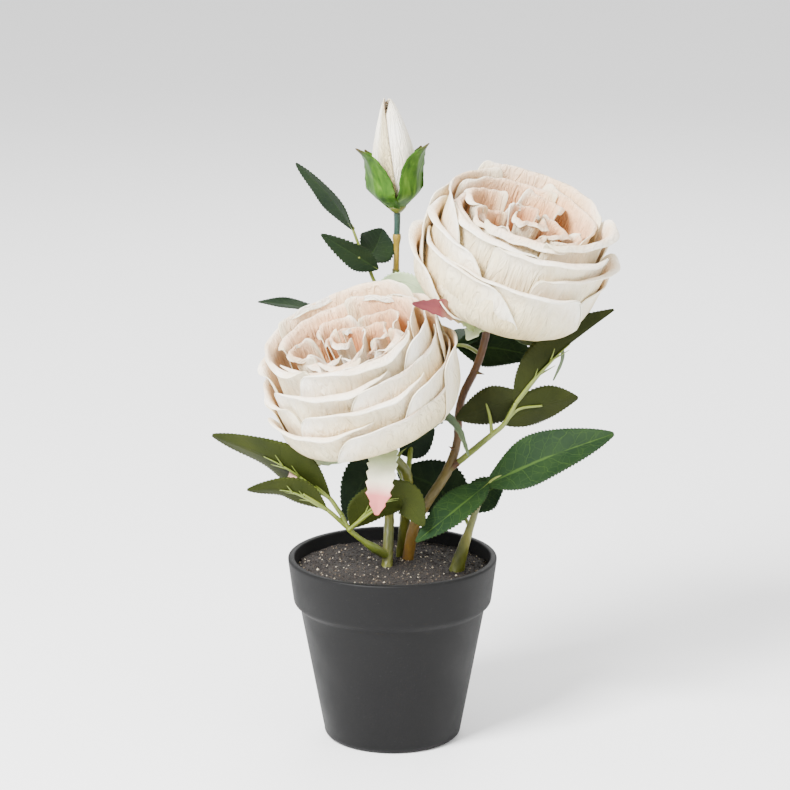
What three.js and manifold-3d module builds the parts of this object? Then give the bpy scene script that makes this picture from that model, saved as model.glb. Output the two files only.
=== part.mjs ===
// An artificial potted rose: two open cream roses and one bud on moulded stems, with
// fabric leaves, standing in a charcoal plastic pot that is filled with grit.
// Millimetres, +Z up.  The origin is the middle of the pot's flat underside and -Y is
// the front.

import * as THREE from 'three';
import { mergeVertices } from 'three/addons/utils/BufferGeometryUtils.js';
import Module from 'manifold-3d';

const wasm = await Module();
wasm.setup();

// ---- driving dimensions -------------------------------------------------------------

const GAP = 0.3; // clearance between neighbouring solids
const V = (x, y, z) => new THREE.Vector3(x, y, z);

// pot
const POT_HEIGHT = 111;
const RIM_RADIUS = 62.2;
const RIM_WALL = 3.9;
const BAND_HEIGHT = 27; // the collar under the rim
const BAND_STEP = 3.6; // how far the collar stands out of the body
const FOOT_RADIUS = 41.1;
const FOOT_ROUND = 4.2;
const BODY_TOP_RADIUS = 55.2;
const POT_WALL = 3.2;
const POT_FLOOR = 3.6;
const POT_SIDES = 32;

// grit that fills the pot
const GRIT_LEVEL = 103;
const GRIT_CROWN = 1.2; // how much higher its middle stands

// blooms
const PETAL_THICK = 1.3;
const BLOOM_RADIUS = 60;
const BLOOM_HEIGHT = 73;
const HIP_RADIUS = 9; // the green hip under each bloom
const HIP_HEIGHT = 9;

// leaves and stems
const LEAF_THICK = 1.1;
const SEPAL_THICK = 1.1;
const LEAF_WIDEST = 0.42; // where along its length a leaf is widest
const STEM_ROOT_DEPTH = 40; // how deep the stems stand in the grit

// ---- solids -------------------------------------------------------------------------

function solidOf(geometry) {
  const bare = geometry.clone();
  bare.deleteAttribute('normal');
  bare.deleteAttribute('uv');
  const merged = mergeVertices(bare, 1e-4);
  const mesh = new wasm.Mesh({
    numProp: 3,
    vertProperties: new Float32Array(merged.attributes.position.array),
    triVerts: new Uint32Array(merged.index.array),
  });
  return new wasm.Manifold(mesh);
}

function geometryOf(solid) {
  const mesh = solid.getMesh();
  const geometry = new THREE.BufferGeometry();
  geometry.setAttribute('position', new THREE.BufferAttribute(new Float32Array(mesh.vertProperties), 3));
  geometry.setIndex(new THREE.BufferAttribute(new Uint32Array(mesh.triVerts), 1));
  geometry.computeVertexNormals();
  return geometry;
}

// the one connected body of a union: loose scraps go and sealed voids are filled
function mainBody(solid) {
  const pieces = solid.decompose();
  return pieces.reduce((best, piece) => (piece.volume() > best.volume() ? piece : best));
}

function fuse(solids) {
  return mainBody(wasm.Manifold.union(solids));
}

// cuts a solid about GAP clear of a neighbour on every side
function clearOf(solid, neighbour) {
  let cut = solid.subtract(neighbour);
  for (const axis of [0, 1, 2]) {
    for (const shift of [-GAP, GAP]) {
      const offset = [0, 0, 0];
      offset[axis] = shift;
      cut = cut.subtract(neighbour.translate(offset));
    }
  }
  return mainBody(cut);
}

// a closed sheet about the surface pointAt(s, t), s from -1 to 1 and t from 0 to 1
function sheet(pointAt, across, along, thickness) {
  const step = 1e-3;
  const positions = [];
  const row = across + 1;
  for (const side of [1, -1]) {
    for (let j = 0; j <= along; j += 1) {
      for (let i = 0; i <= across; i += 1) {
        const s = (2 * i) / across - 1;
        const t = j / along;
        const overS = pointAt(s + step, t).sub(pointAt(s - step, t));
        const overT = pointAt(s, t + step).sub(pointAt(s, t - step));
        const normal = overS.cross(overT).normalize();
        positions.push(...pointAt(s, t).addScaledVector(normal, (side * thickness) / 2).toArray());
      }
    }
  }
  const layer = row * (along + 1);
  const index = [];
  for (let j = 0; j < along; j += 1) {
    for (let i = 0; i < across; i += 1) {
      const a = j * row + i;
      const b = a + 1;
      const c = a + row + 1;
      const d = a + row;
      index.push(a, b, c, a, c, d);
      index.push(layer + a, layer + c, layer + b, layer + a, layer + d, layer + c);
    }
  }
  const rim = [];
  for (let i = 0; i < across; i += 1) rim.push(i);
  for (let j = 0; j < along; j += 1) rim.push(j * row + across);
  for (let i = across; i > 0; i -= 1) rim.push(along * row + i);
  for (let j = along; j > 0; j -= 1) rim.push(j * row);
  rim.forEach((a, k) => {
    const b = rim[(k + 1) % rim.length];
    index.push(b, a, layer + a, b, layer + a, layer + b);
  });
  const geometry = new THREE.BufferGeometry();
  geometry.setAttribute('position', new THREE.Float32BufferAttribute(positions, 3));
  geometry.setIndex(index);
  return solidOf(geometry);
}

// a limb that runs through the points with a radius for each of them
function limb(points, radii, sides = 6, stepsPerSpan = 2) {
  const curve = new THREE.CatmullRomCurve3(points, false, 'centripetal');
  const steps = (points.length - 1) * stepsPerSpan;
  const positions = [];
  const index = [];
  let normal = V(1, 0, 0);
  for (let j = 0; j <= steps; j += 1) {
    const u = j / steps;
    const centre = curve.getPoint(u);
    const tangent = curve.getTangent(u);
    normal = normal.clone().addScaledVector(tangent, -normal.dot(tangent)).normalize();
    const other = tangent.clone().cross(normal);
    const place = u * (radii.length - 1);
    const k = Math.min(Math.floor(place), radii.length - 2);
    const radius = THREE.MathUtils.lerp(radii[k], radii[k + 1], place - k);
    for (let i = 0; i < sides; i += 1) {
      const turn = (2 * Math.PI * i) / sides;
      const spoke = normal.clone().multiplyScalar(Math.cos(turn)).addScaledVector(other, Math.sin(turn));
      positions.push(...centre.clone().addScaledVector(spoke, radius).toArray());
    }
  }
  for (let j = 0; j < steps; j += 1) {
    for (let i = 0; i < sides; i += 1) {
      const a = j * sides + i;
      const b = j * sides + ((i + 1) % sides);
      index.push(a, b, b + sides, a, b + sides, a + sides);
    }
  }
  for (let i = 1; i < sides - 1; i += 1) {
    index.push(0, i + 1, i);
    index.push(steps * sides, steps * sides + i, steps * sides + i + 1);
  }
  const geometry = new THREE.BufferGeometry();
  geometry.setAttribute('position', new THREE.Float32BufferAttribute(positions, 3));
  geometry.setIndex(index);
  return solidOf(geometry);
}

// a solid of revolution about +Z from [radius, height] pairs
function turned(profile, sides) {
  const outline = profile.map(([radius, height]) => new THREE.Vector2(radius, height));
  const geometry = new THREE.LatheGeometry(outline, sides);
  geometry.rotateX(Math.PI / 2);
  return solidOf(geometry);
}

// ---- blades: leaves, sepals and their ribs -------------------------------------------

// half width of a blade along its length, as a share of its greatest half width
const outlines = {
  leaf: (t) => {
    const lobe = t < LEAF_WIDEST ? t / LEAF_WIDEST : (1 - t) / (1 - LEAF_WIDEST);
    return 0.07 + 0.93 * Math.sin((Math.PI / 2) * Math.max(lobe, 0)) ** 0.85;
  },
  sepal: (t) => 0.12 + 0.88 * Math.sin(Math.PI * Math.min(Math.max(0.28 + 0.7 * t, 0), 1)) ** 0.6,
};

// A blade runs along points.  "facing" is the way its upper side looks, and "fold" lifts
// both halves off the midrib like a shallow V, in degrees.
function blade({ points, width, facing, fold = 12, outline = 'leaf' }, thickness, steps = 5) {
  const curve = new THREE.CatmullRomCurve3(points, false, 'centripetal');
  const rise = Math.tan(THREE.MathUtils.degToRad(fold));
  const surface = (s, t) => {
    const u = Math.min(Math.max(t, 0), 1);
    const tangent = curve.getTangent(u);
    const centre = curve.getPoint(u).addScaledVector(tangent, (t - u) * curve.getLength());
    const side = tangent.clone().cross(facing).normalize();
    const up = side.clone().cross(tangent).normalize();
    const reach = (width / 2) * outlines[outline](t);
    return centre.addScaledVector(side, s * reach).addScaledVector(up, Math.abs(s) * reach * rise);
  };
  return sheet(surface, 2, steps, thickness);
}

// ---- pot and grit --------------------------------------------------------------------

const bodyTop = POT_HEIGHT - BAND_HEIGHT - BAND_STEP;

function makePot() {
  const bodyTopInner = BODY_TOP_RADIUS - POT_WALL;
  const rimInner = RIM_RADIUS - RIM_WALL;
  const footInner = FOOT_RADIUS - POT_WALL;
  return turned(
    [
      [0, 0],
      [FOOT_RADIUS - FOOT_ROUND, 0],
      [FOOT_RADIUS - FOOT_ROUND * 0.3, FOOT_ROUND * 0.3],
      [FOOT_RADIUS, FOOT_ROUND],
      [BODY_TOP_RADIUS, bodyTop],
      [BODY_TOP_RADIUS + BAND_STEP, bodyTop + BAND_STEP],
      [RIM_RADIUS, POT_HEIGHT - 1.2],
      [RIM_RADIUS - 0.9, POT_HEIGHT],
      [rimInner + 0.9, POT_HEIGHT],
      [rimInner, POT_HEIGHT - 1.2],
      [rimInner - 2, POT_HEIGHT - BAND_HEIGHT],
      [bodyTopInner, bodyTop - 4],
      [footInner, POT_FLOOR],
      [0, POT_FLOOR],
    ],
    POT_SIDES,
  );
}

function makeGrit(sockets) {
  const rimInner = RIM_RADIUS - RIM_WALL - GAP;
  const bodyInner = BODY_TOP_RADIUS - POT_WALL - GAP;
  const footInner = FOOT_RADIUS - POT_WALL - GAP;
  const grit = turned(
    [
      [0, POT_FLOOR + GAP],
      [footInner, POT_FLOOR + GAP],
      [bodyInner, bodyTop - 4],
      [rimInner - 2, POT_HEIGHT - BAND_HEIGHT],
      [rimInner - 0.7, GRIT_LEVEL],
      [rimInner * 0.6, GRIT_LEVEL + GRIT_CROWN * 0.6],
      [0, GRIT_LEVEL + GRIT_CROWN],
    ],
    POT_SIDES,
  );
  return mainBody(grit.subtract(wasm.Manifold.union(sockets)));
}

// ---- stems ---------------------------------------------------------------------------

// Each stem is a list of points from the grit upwards, and its radii.
const STEMS = {
  stem_left_rose: {
    points: [
      V(5.2, 21, 104),
      V(7.4, 17.5, 127),
      V(9.2, 8, 149),
      V(7.6, 0, 163),
      V(-1.4, -6.6, 175.5),
      V(-4.6, -8.7, 183.6),
    ],
    radii: [3.2, 3.2, 3.1, 3.0, 2.9, 2.9],
  },
  stem_right_rose: {
    points: [
      V(9, 13, 104),
      V(13.4, 10.5, 127),
      V(22, 9, 143),
      V(32.5, 10, 160),
      V(38.2, 13, 176),
      V(39.6, 17, 196),
      V(42.5, 19, 206),
      V(49, 22, 219),
      V(53.6, 24, 232),
      V(57.2, 22.7, 250.2),
    ],
    radii: [3.5, 3.2, 2.9, 3.0, 2.5, 2.3, 2.4, 2.4, 2.3, 2.4],
  },
  stem_bud: {
    points: [
      V(-3.3, 0, 103),
      V(-2, 10, 128),
      V(-1, 32, 159),
      V(0.9, 52, 205),
      V(1.5, 53, 256),
      V(2.1, 51, 274),
    ],
    radii: [3.3, 3.0, 2.1, 2.0, 2.0, 2.3],
  },
  stem_side: {
    points: [
      V(37.8, -6, 102.5),
      V(41.8, -6, 117),
      V(46.4, -8, 132),
      V(51, -10, 147.5),
      V(54.4, -12, 156),
    ],
    radii: [4.6, 3.4, 2.2, 2.0, 1.6],
  },
};

function stemPoints(name) {
  const { points } = STEMS[name];
  const foot = points[0].clone().sub(points[1]).setLength(STEM_ROOT_DEPTH).add(points[0]);
  return [foot, ...points];
}

function stemSolid(name, extra = 0) {
  const { radii } = STEMS[name];
  const grown = [radii[0], ...radii].map((radius) => radius + extra);
  return limb(stemPoints(name), grown);
}

function thorn(root, tip, radius) {
  return limb([root, root.clone().lerp(tip, 0.5), tip], [radius, radius * 0.6, radius * 0.12], 5, 1);
}

// the right rose's stem carries two thorns and a stub where its side branch leaves
function makeRightStem() {
  return fuse([
    stemSolid('stem_right_rose'),
    thorn(V(38, 13, 172), V(33.4, 9, 175.5), 1.6),
    thorn(V(48.5, 21.6, 218), V(54.5, 19.5, 217), 1.6),
    limb([V(31, 10, 159), V(36.5, 9.2, 163.4), V(39.5, 7.8, 166.6)], [2.2, 2.0, 1.9], 7, 2),
  ]);
}

// ---- sprays of leaves ----------------------------------------------------------------

const stalk = (points, radii) => ({ points, radii });
const leaf = (points, width, facing, fold = 12) => ({ points, width, facing, fold });

// Each spray is a branching stalk with leaf blades fused on it.
const SPRAYS = {
  spray_top_left: {
    stalks: [
      stalk(
        [
          V(1.6, 52.6, 257),
          V(-5.7, 42, 262),
          V(-9, 38, 266),
          V(-15.7, 36, 282),
          V(-20.4, 36, 293),
          V(-24, 36, 303),
        ],
        [1.3, 1.3, 1.1, 1.1, 0.9, 0.8],
      ),
      stalk([V(-15.7, 36, 282), V(-17, 33.5, 283.6), V(-20, 30, 285.8)], [1.0, 0.9, 0.7]),
    ],
    leaves: [
      leaf([V(-23.4, 36, 301), V(-38, 33, 323), V(-56.7, 34, 341.4)], 19, V(-0.75, -0.6, -0.2)),
      leaf([V(-8.5, 32, 278), V(-22, 30, 287), V(-42, 28, 300)], 17, V(-0.1, -0.95, -0.2)),
      leaf([V(-15.7, 36, 282), V(-10, 50, 288), V(-6, 64, 296)], 24, V(0.3, -0.75, 0.5)),
      leaf([V(-9, 38, 266), V(3, 34, 270), V(13, 31, 268), V(23, 33, 260)], 15, V(0, -0.9, -0.4), 6),
    ],
  },
  spray_behind_left_rose: {
    stalks: [
      stalk(
        [V(8.6, 4.8, 154.6), V(11, 32, 178), V(6, 53, 206), V(-18, 60, 236), V(-40, 52, 247)],
        [1.6, 1.6, 1.4, 1.2, 0.9],
      ),
    ],
    leaves: [
      leaf([V(-38.5, 52.4, 246.3), V(-60, 45, 253), V(-80.2, 40, 256.4)], 15, V(0.1, -0.25, 0.96)),
      leaf([V(-17, 59.8, 235.6), V(-25, 63, 208), V(-30, 60, 180)], 26, V(-0.2, 0.9, 0.2)),
      leaf([V(5.5, 53.2, 206.5), V(24, 62, 216), V(40, 66, 232)], 26, V(0.1, 0.9, 0.4)),
    ],
  },
  spray_under_left_rose: {
    stalks: [
      stalk([V(9, 8, 149.6), V(2, 18, 161), V(-6, 21, 166)], [1.4, 1.3, 1.1]),
      stalk([V(2, 18, 161), V(5, 21, 169), V(9, 23, 172)], [1.2, 1.1, 0.9]),
    ],
    leaves: [
      leaf([V(-5.2, 20.8, 165.6), V(-17, 21, 152), V(-28.4, 13, 128)], 27, V(-0.1, -0.9, 0.35), 8),
      leaf([V(4.6, 20.7, 168), V(14, 24, 175), V(25, 26, 182)], 24, V(0.2, -0.9, -0.3), 8),
    ],
  },
  spray_under_right_rose: {
    stalks: [stalk([V(52.6, 24, 228), V(44, 33, 231), V(37, 38, 230.5)], [1.3, 1.2, 0.9])],
    leaves: [
      leaf([V(38, 37, 230.5), V(60, 41, 228), V(85, 38, 224)], 27, V(0.1, -0.85, 0.5)),
      leaf([V(44, 33, 231), V(52, 58, 233), V(68, 84, 230)], 28, V(-0.1, 0.15, 1)),
    ],
  },
  spray_right_branch: {
    stalks: [
      stalk(
        [V(39, 8.1, 166), V(47, 4, 174), V(57.5, -2, 184.8), V(65.6, -4, 192.6), V(72.5, -5, 205.6)],
        [1.9, 1.9, 1.7, 1.4, 1.3],
      ),
      stalk([V(72.5, -5, 205.6), V(82, -7, 219), V(95, -9, 234)], [1.3, 1.1, 0.6]),
      stalk([V(58.5, -3, 186), V(57.4, -1, 196), V(54.6, 2, 206)], [1.2, 1.0, 0.6]),
      stalk([V(67, -4, 195), V(74, -4, 201.5), V(88, -1, 203)], [1.2, 0.9, 0.6]),
    ],
    leaves: [
      leaf([V(72, -4, 205), V(96, -6, 235), V(130, 6, 259)], 24, V(-0.48, 0.69, 0.35), 40),
      leaf([V(76.5, -5.8, 211), V(56.4, 0.4, 201), V(37.6, 3, 194.2)], 24, V(0.1, 0.95, 0.1), 14),
      leaf([V(65.6, -4, 192.6), V(88, 0, 203), V(109.6, 8, 205.5)], 26, V(-0.2, 0.9, 0.3), 6),
    ],
  },
  spray_right_front: {
    stalks: [stalk([V(53.6, -11.8, 155), V(60, -14, 162), V(70, -18, 167)], [1.2, 1.0, 0.6])],
    leaves: [
      leaf([V(55, -13, 158), V(90, -26, 178), V(128.5, -30, 193.5)], 33, V(-0.25, -0.72, 0.65), 14),
      leaf([V(56.6, -13.2, 159.2), V(37, -31, 148), V(13.7, -42, 131.7)], 22, V(-0.35, -0.8, 0.45), 18),
    ],
  },
  spray_back_centre: {
    stalks: [
      stalk([V(45.3, -7.5, 128.2), V(45, 4, 129), V(42, 13, 133)], [1.3, 1.2, 1.0]),
      stalk([V(42, 13, 133), V(48, 17, 138), V(54, 18, 142)], [1.0, 0.9, 0.6]),
    ],
    leaves: [
      leaf([V(42, 13, 133), V(26, 26, 146), V(3, 31, 154)], 34, V(0.1, -0.95, 0.2), 8),
      leaf([V(44, 14, 134), V(56, 19, 144), V(67, 18, 151)], 22, V(-0.1, -0.9, 0.3), 8),
    ],
  },
  spray_left: {
    stalks: [
      stalk(
        [
          V(-4, 1.6, 110.5),
          V(-10.5, -8, 117.5),
          V(-18, -14, 124.5),
          V(-26, -18, 133),
          V(-30, -20, 142),
        ],
        [2.6, 3.0, 1.6, 1.6, 1.4],
      ),
      stalk([V(-30, -20, 142), V(-38, -22, 154), V(-54, -24, 169), V(-80, -22, 180)], [1.4, 1.3, 1.0, 0.5]),
      stalk([V(-27, -18.4, 134), V(-39, -25, 147), V(-52, -29, 157)], [1.4, 1.2, 0.6]),
      stalk([V(-25.6, -18, 132), V(-18, -27, 141), V(-5, -35, 153)], [1.4, 1.2, 0.6]),
    ],
    leaves: [
      leaf([V(-37, -22, 153), V(-66, -25, 174.5), V(-105.2, -20, 190)], 34, V(0.3, 0.75, 0.6)),
      leaf([V(-38.6, -24.8, 146.7), V(-60, -29, 159), V(-84.7, -30, 159.7)], 21, V(0.1, 0.8, 0.6)),
      leaf(
        [V(-24, -20, 134), V(-11, -31, 150), V(6, -38, 157), V(18.3, -44, 142)],
        31, V(-0.1, 0.85, 0.5), 6,
      ),
    ],
  },
};

function makeSpray({ stalks, leaves }) {
  const limbs = stalks.map(({ points, radii }) => limb(points, radii, 5, 1));
  const blades = leaves.map((leaf) => blade(leaf, LEAF_THICK));
  return fuse([...limbs, ...blades]);
}

// ---- blooms --------------------------------------------------------------------------

// A bloom's frame: its hip at "base", its own axis, and a facing direction (turn 0) that
// looks to the front, with turn 90 degrees to the right.
const BLOOMS = {
  rose_left: { base: V(-6.5, -10, 189.5), axis: V(-0.297, -0.216, 0.931), seed: 2.1 },
  rose_right: { base: V(59, 21, 256), axis: V(0.289, -0.277, 0.917), seed: 0.4 },
};

function bloomMatrix({ base, axis }) {
  const up = axis.clone().normalize();
  const front = V(0, -1, 0).addScaledVector(up, up.y).normalize();
  const right = up.clone().cross(front);
  const back = front.clone().negate();
  return new THREE.Matrix4().makeBasis(right, back, up).setPosition(base);
}

// Rings of petals from the outside in.  Each petal rises from the bloom's floor through
// its belly to its rim, in shares of the bloom's radius and height, and its lip turns out.
// "drop" rounds a petal's rim off to its sides, and "sway" makes some petals taller.
const CUP_RINGS = [
  {
    count: 4,
    turn: 4,
    span: 58,
    belly: [0.8, 0.17],
    rim: [0.97, 0.5],
    lip: [0.05, 0.04],
    drop: 0.42,
    sway: 0.05,
  },
  {
    count: 4,
    turn: 34,
    span: 56,
    belly: [0.72, 0.24],
    rim: [0.88, 0.72],
    lip: [0.06, 0.03],
    drop: 0.36,
    sway: 0.04,
  },
  {
    count: 3,
    turn: 54,
    span: 72,
    belly: [0.62, 0.32],
    rim: [0.73, 0.9],
    lip: [0.05, 0.02],
    drop: 0.34,
    sway: 0.03,
  },
];
const HEART_RINGS = [
  {
    count: 4,
    turn: 30,
    span: 50,
    belly: [0.44, 0.42],
    rim: [0.5, 0.87],
    lip: [0.02, 0.0],
    drop: 0.25,
    sway: 0.03,
  },
  {
    count: 4,
    turn: 66,
    span: 50,
    belly: [0.3, 0.5],
    rim: [0.32, 0.84],
    lip: [-0.02, 0.0],
    drop: 0.2,
    sway: 0.03,
  },
];
const PETAL_ROOT = [0.12, 0.07];
const HEART_ROOT = [0.12, 0.3];
const FLOOR_RADIUS = 0.5 * BLOOM_RADIUS;
const FLOOR_TOP = 0.11 * BLOOM_HEIGHT;

function petalSurface(ring, root, turn, waves) {
  const scaled = ([radius, height]) => new THREE.Vector2(radius * BLOOM_RADIUS, height * BLOOM_HEIGHT);
  const sway = ring.sway * Math.sin(2.4 * waves);
  const rim = scaled([ring.rim[0], ring.rim[1] + sway]);
  const lip = rim.clone().add(scaled(ring.lip));
  const profile = new THREE.SplineCurve([scaled(root), scaled(ring.belly), rim, lip]);
  const span = THREE.MathUtils.degToRad(ring.span);
  return (s, t) => {
    const reach = t * (1 - ring.drop * Math.abs(s) ** 2.2);
    const at = profile.getPoint(Math.min(Math.max(reach, 0), 1));
    const angle = turn + s * span * (0.55 + 0.45 * Math.min(t * 2, 1));
    const spiral = 2.2 * s * t;
    const ripple = 1.6 * t * t * Math.sin(3 * s + waves);
    const radius = at.x + spiral + ripple;
    const height = at.y + (t - Math.min(Math.max(t, 0), 1)) * BLOOM_HEIGHT;
    return V(radius * Math.sin(angle), -radius * Math.cos(angle), height);
  };
}

function petalRing(ring, root, seed, across, along) {
  const petals = [];
  for (let k = 0; k < ring.count; k += 1) {
    const turn = THREE.MathUtils.degToRad(ring.turn + seed * 40 + (360 * k) / ring.count);
    petals.push(sheet(petalSurface(ring, root, turn, seed + 2.3 * k), across, along, PETAL_THICK));
  }
  return petals;
}

function makeCup(seed) {
  const floor = turned(
    [
      [0, 0],
      [HIP_RADIUS, 0],
      [FLOOR_RADIUS, FLOOR_TOP * 0.6],
      [FLOOR_RADIUS, FLOOR_TOP * 1.9],
      [0.55 * FLOOR_RADIUS, FLOOR_TOP * 1.2],
      [HIP_RADIUS, FLOOR_TOP],
      [0, FLOOR_TOP],
    ],
    16,
  );
  return fuse([floor, ...CUP_RINGS.flatMap((ring) => petalRing(ring, PETAL_ROOT, seed, 4, 3))]);
}

function makeHeart(seed) {
  const coreTop = 0.72 * BLOOM_HEIGHT;
  const core = turned(
    [
      [0, FLOOR_TOP + GAP],
      [0.16 * BLOOM_RADIUS, FLOOR_TOP + GAP],
      [0.24 * BLOOM_RADIUS, 0.4 * BLOOM_HEIGHT],
      [0.2 * BLOOM_RADIUS, 0.9 * coreTop],
      [0, coreTop],
    ],
    10,
  );
  return fuse([core, ...HEART_RINGS.flatMap((ring) => petalRing(ring, HEART_ROOT, seed, 4, 2))]);
}

// The green hip under a bloom, with its sepals.  A sepal runs through points given as a
// turn in degrees, a radius and a height in the bloom's own frame.
const SEPALS = {
  rose_left: [
    {
      path: [[0, 7, -3], [-2, 28, -1], [-5, 39, -4], [-11, 45, -14], [-18, 47.5, -28]],
      width: 20,
      facing: V(0, -0.7, 0.7),
    },
    {
      path: [[-80, 7, -3], [-84, 30, 2], [-83, 42, 7], [-78, 51, 8], [-75, 61, 1]],
      width: 10,
      facing: V(-0.1, -0.95, 0.3),
    },
    {
      path: [[60, 7, -3], [62, 32, 3], [66, 43, 6], [67, 48, -4], [65, 50, -22]],
      width: 8,
      facing: V(0.75, -0.5, 0.45),
    },
    {
      path: [[170, 7, -3], [172, 34, 2], [175, 54, 5]],
      width: 14,
      facing: V(0, 0.7, 0.7),
    },
  ],
  rose_right: [
    {
      path: [[-24, 7, -3], [-32, 30, 2], [-41, 48, 6], [-47.7, 70, 12.6]],
      width: 13,
      facing: V(0.15, -0.93, 0.3),
    },
    {
      path: [[-30, 7, -3], [-24, 18, -3], [-20.5, 25, -5], [-20.8, 31, -9]],
      width: 11,
      facing: V(-0.3, -0.9, 0.3),
    },
    {
      path: [[45, 7, -3], [55, 23, -1], [67, 34, 3], [68, 42, 6], [66, 48, 2], [60, 51, -15]],
      width: 7,
      facing: V(0.9, -0.35, 0.4),
    },
    {
      path: [[170, 7, -3], [172, 34, 2], [175, 54, 5]],
      width: 14,
      facing: V(0, 0.7, 0.7),
    },
  ],
};

function makeHip(name) {
  const frame = bloomMatrix(BLOOMS[name]);
  const hip = turned(
    [
      [0, -HIP_HEIGHT],
      [0.34 * HIP_RADIUS, -HIP_HEIGHT],
      [0.8 * HIP_RADIUS, -0.55 * HIP_HEIGHT],
      [HIP_RADIUS, -GAP],
      [0, -GAP],
    ],
    12,
  );
  const sepals = SEPALS[name].map(({ path, width, facing }) => {
    const spot = ([turn, radius, height]) => {
      const angle = THREE.MathUtils.degToRad(turn);
      return V(radius * Math.sin(angle), -radius * Math.cos(angle), height);
    };
    const points = path.map((step) => spot(step).applyMatrix4(frame));
    return blade({ points, width, facing, outline: 'sepal' }, SEPAL_THICK, 6);
  });
  return fuse([hip.transform(frame.toArray()), ...sepals]);
}

// ---- bud -----------------------------------------------------------------------------

const BUD_BASE = V(2.7, 49, 314);
const BUD_TIP = V(-2, 44, 379);
const BUD_RADIUS = 13.6;

function budMatrix() {
  const up = BUD_TIP.clone().sub(BUD_BASE).normalize();
  return bloomMatrix({ base: BUD_BASE, axis: up });
}

function makeBud() {
  const length = BUD_TIP.distanceTo(BUD_BASE);
  const wrap = turned(
    [
      [0, 0],
      [0.45 * BUD_RADIUS, 0.02 * length],
      [0.93 * BUD_RADIUS, 0.2 * length],
      [BUD_RADIUS, 0.42 * length],
      [0.78 * BUD_RADIUS, 0.64 * length],
      [0.42 * BUD_RADIUS, 0.87 * length],
      [0.16 * BUD_RADIUS, 0.97 * length],
      [0, length],
    ],
    14,
  );
  return wrap.transform(budMatrix().toArray());
}

// turns of the bud's sepals about it, the two that show in front first
const BUD_SEPAL_TURNS = [-58, 58, 122, 180, -122];

function makeBudHusk() {
  const frame = budMatrix();
  const sepals = [];
  for (const degrees of BUD_SEPAL_TURNS) {
    const turn = THREE.MathUtils.degToRad(degrees);
    const out = (radius, height) =>
      V(radius * Math.sin(turn), -radius * Math.cos(turn), height).applyMatrix4(frame);
    const facing = V(Math.sin(turn), -Math.cos(turn), 0).transformDirection(frame);
    const flare = Math.abs(degrees) < 90 ? 23 : 17;
    sepals.push(blade(
      { points: [out(4, -2), out(14.6, 8), out(16.2, 20), out(flare, 38)], width: 19, facing, fold: -14 },
      SEPAL_THICK,
      5,
    ));
  }
  const hipProfile = [[0, -5], [3.4, -5], [5.5, -2.2], [5.8, -GAP], [0, -GAP]];
  const hip = turned(hipProfile, 10).transform(frame.toArray());
  const tube = limb([V(2.7, 49.5, 311), V(2.8, 50.5, 302), V(2.6, 51, 294.5)], [2.0, 1.9, 1.8], 8, 2);
  const peg = limb([V(2.6, 51, 295), V(2.5, 51, 289), V(2.1, 51, 272.5)], [2.6, 1.7, 1.9], 8, 2);
  return fuse([hip, tube, peg, ...sepals]);
}

// ---- assembly ------------------------------------------------------------------------

const LOOKS = {
  pot: { color: 0x3d3e40, roughness: 0.72, metalness: 0 },
  grit: { color: 0x2c2320, roughness: 0.95, metalness: 0 },
  stem: { color: 0x5c5a23, roughness: 0.5, metalness: 0 },
  woodyStem: { color: 0x6a4a22, roughness: 0.55, metalness: 0 },
  leaf: { color: 0x3d5a2c, roughness: 0.7, metalness: 0 },
  husk: { color: 0x5d9a35, roughness: 0.6, metalness: 0 },
  petal: { color: 0xf4ead9, roughness: 0.75, metalness: 0 },
  petalHeart: { color: 0xefd3b4, roughness: 0.75, metalness: 0 },
};

const group = new THREE.Group();
group.name = 'potted_rose';
const placedSolids = [];

// adds one node, cut clear of the nodes that stand in its way, with its pivot at anchor
function addNode(name, solid, anchor, look) {
  let body = solid;
  for (const other of placedSolids) {
    if (wasm.Manifold.intersection([body, other]).volume() > 0) body = clearOf(body, other);
  }
  placedSolids.push(body);
  const geometry = geometryOf(body);
  geometry.translate(-anchor.x, -anchor.y, -anchor.z);
  const mesh = new THREE.Mesh(geometry, new THREE.MeshStandardMaterial(LOOKS[look]));
  mesh.name = name;
  mesh.position.copy(anchor);
  group.add(mesh);
}

addNode('pot', makePot(), V(0, 0, 0), 'pot');
const sockets = Object.keys(STEMS).map((name) => stemSolid(name, GAP));
addNode('grit', makeGrit(sockets), V(0, 0, GRIT_LEVEL), 'grit');

for (const name of Object.keys(STEMS)) {
  const woody = name === 'stem_right_rose';
  const solid = woody ? makeRightStem() : stemSolid(name);
  addNode(name, solid, STEMS[name].points[0], woody ? 'woodyStem' : 'stem');
}

for (const [name, bloom] of Object.entries(BLOOMS)) {
  const frame = bloomMatrix(bloom).toArray();
  addNode(`${name}_cup`, makeCup(bloom.seed).transform(frame), bloom.base, 'petal');
  addNode(`${name}_heart`, makeHeart(bloom.seed).transform(frame), bloom.base, 'petalHeart');
  addNode(`${name}_hip`, makeHip(name), bloom.base, 'husk');
}

addNode('bud', makeBud(), BUD_BASE, 'petal');
addNode('bud_husk', makeBudHusk(), BUD_BASE, 'husk');

for (const [name, spray] of Object.entries(SPRAYS)) {
  addNode(name, makeSpray(spray), spray.stalks[0].points[0], 'leaf');
}

export default group;
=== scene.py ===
import math
from collections import namedtuple

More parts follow.
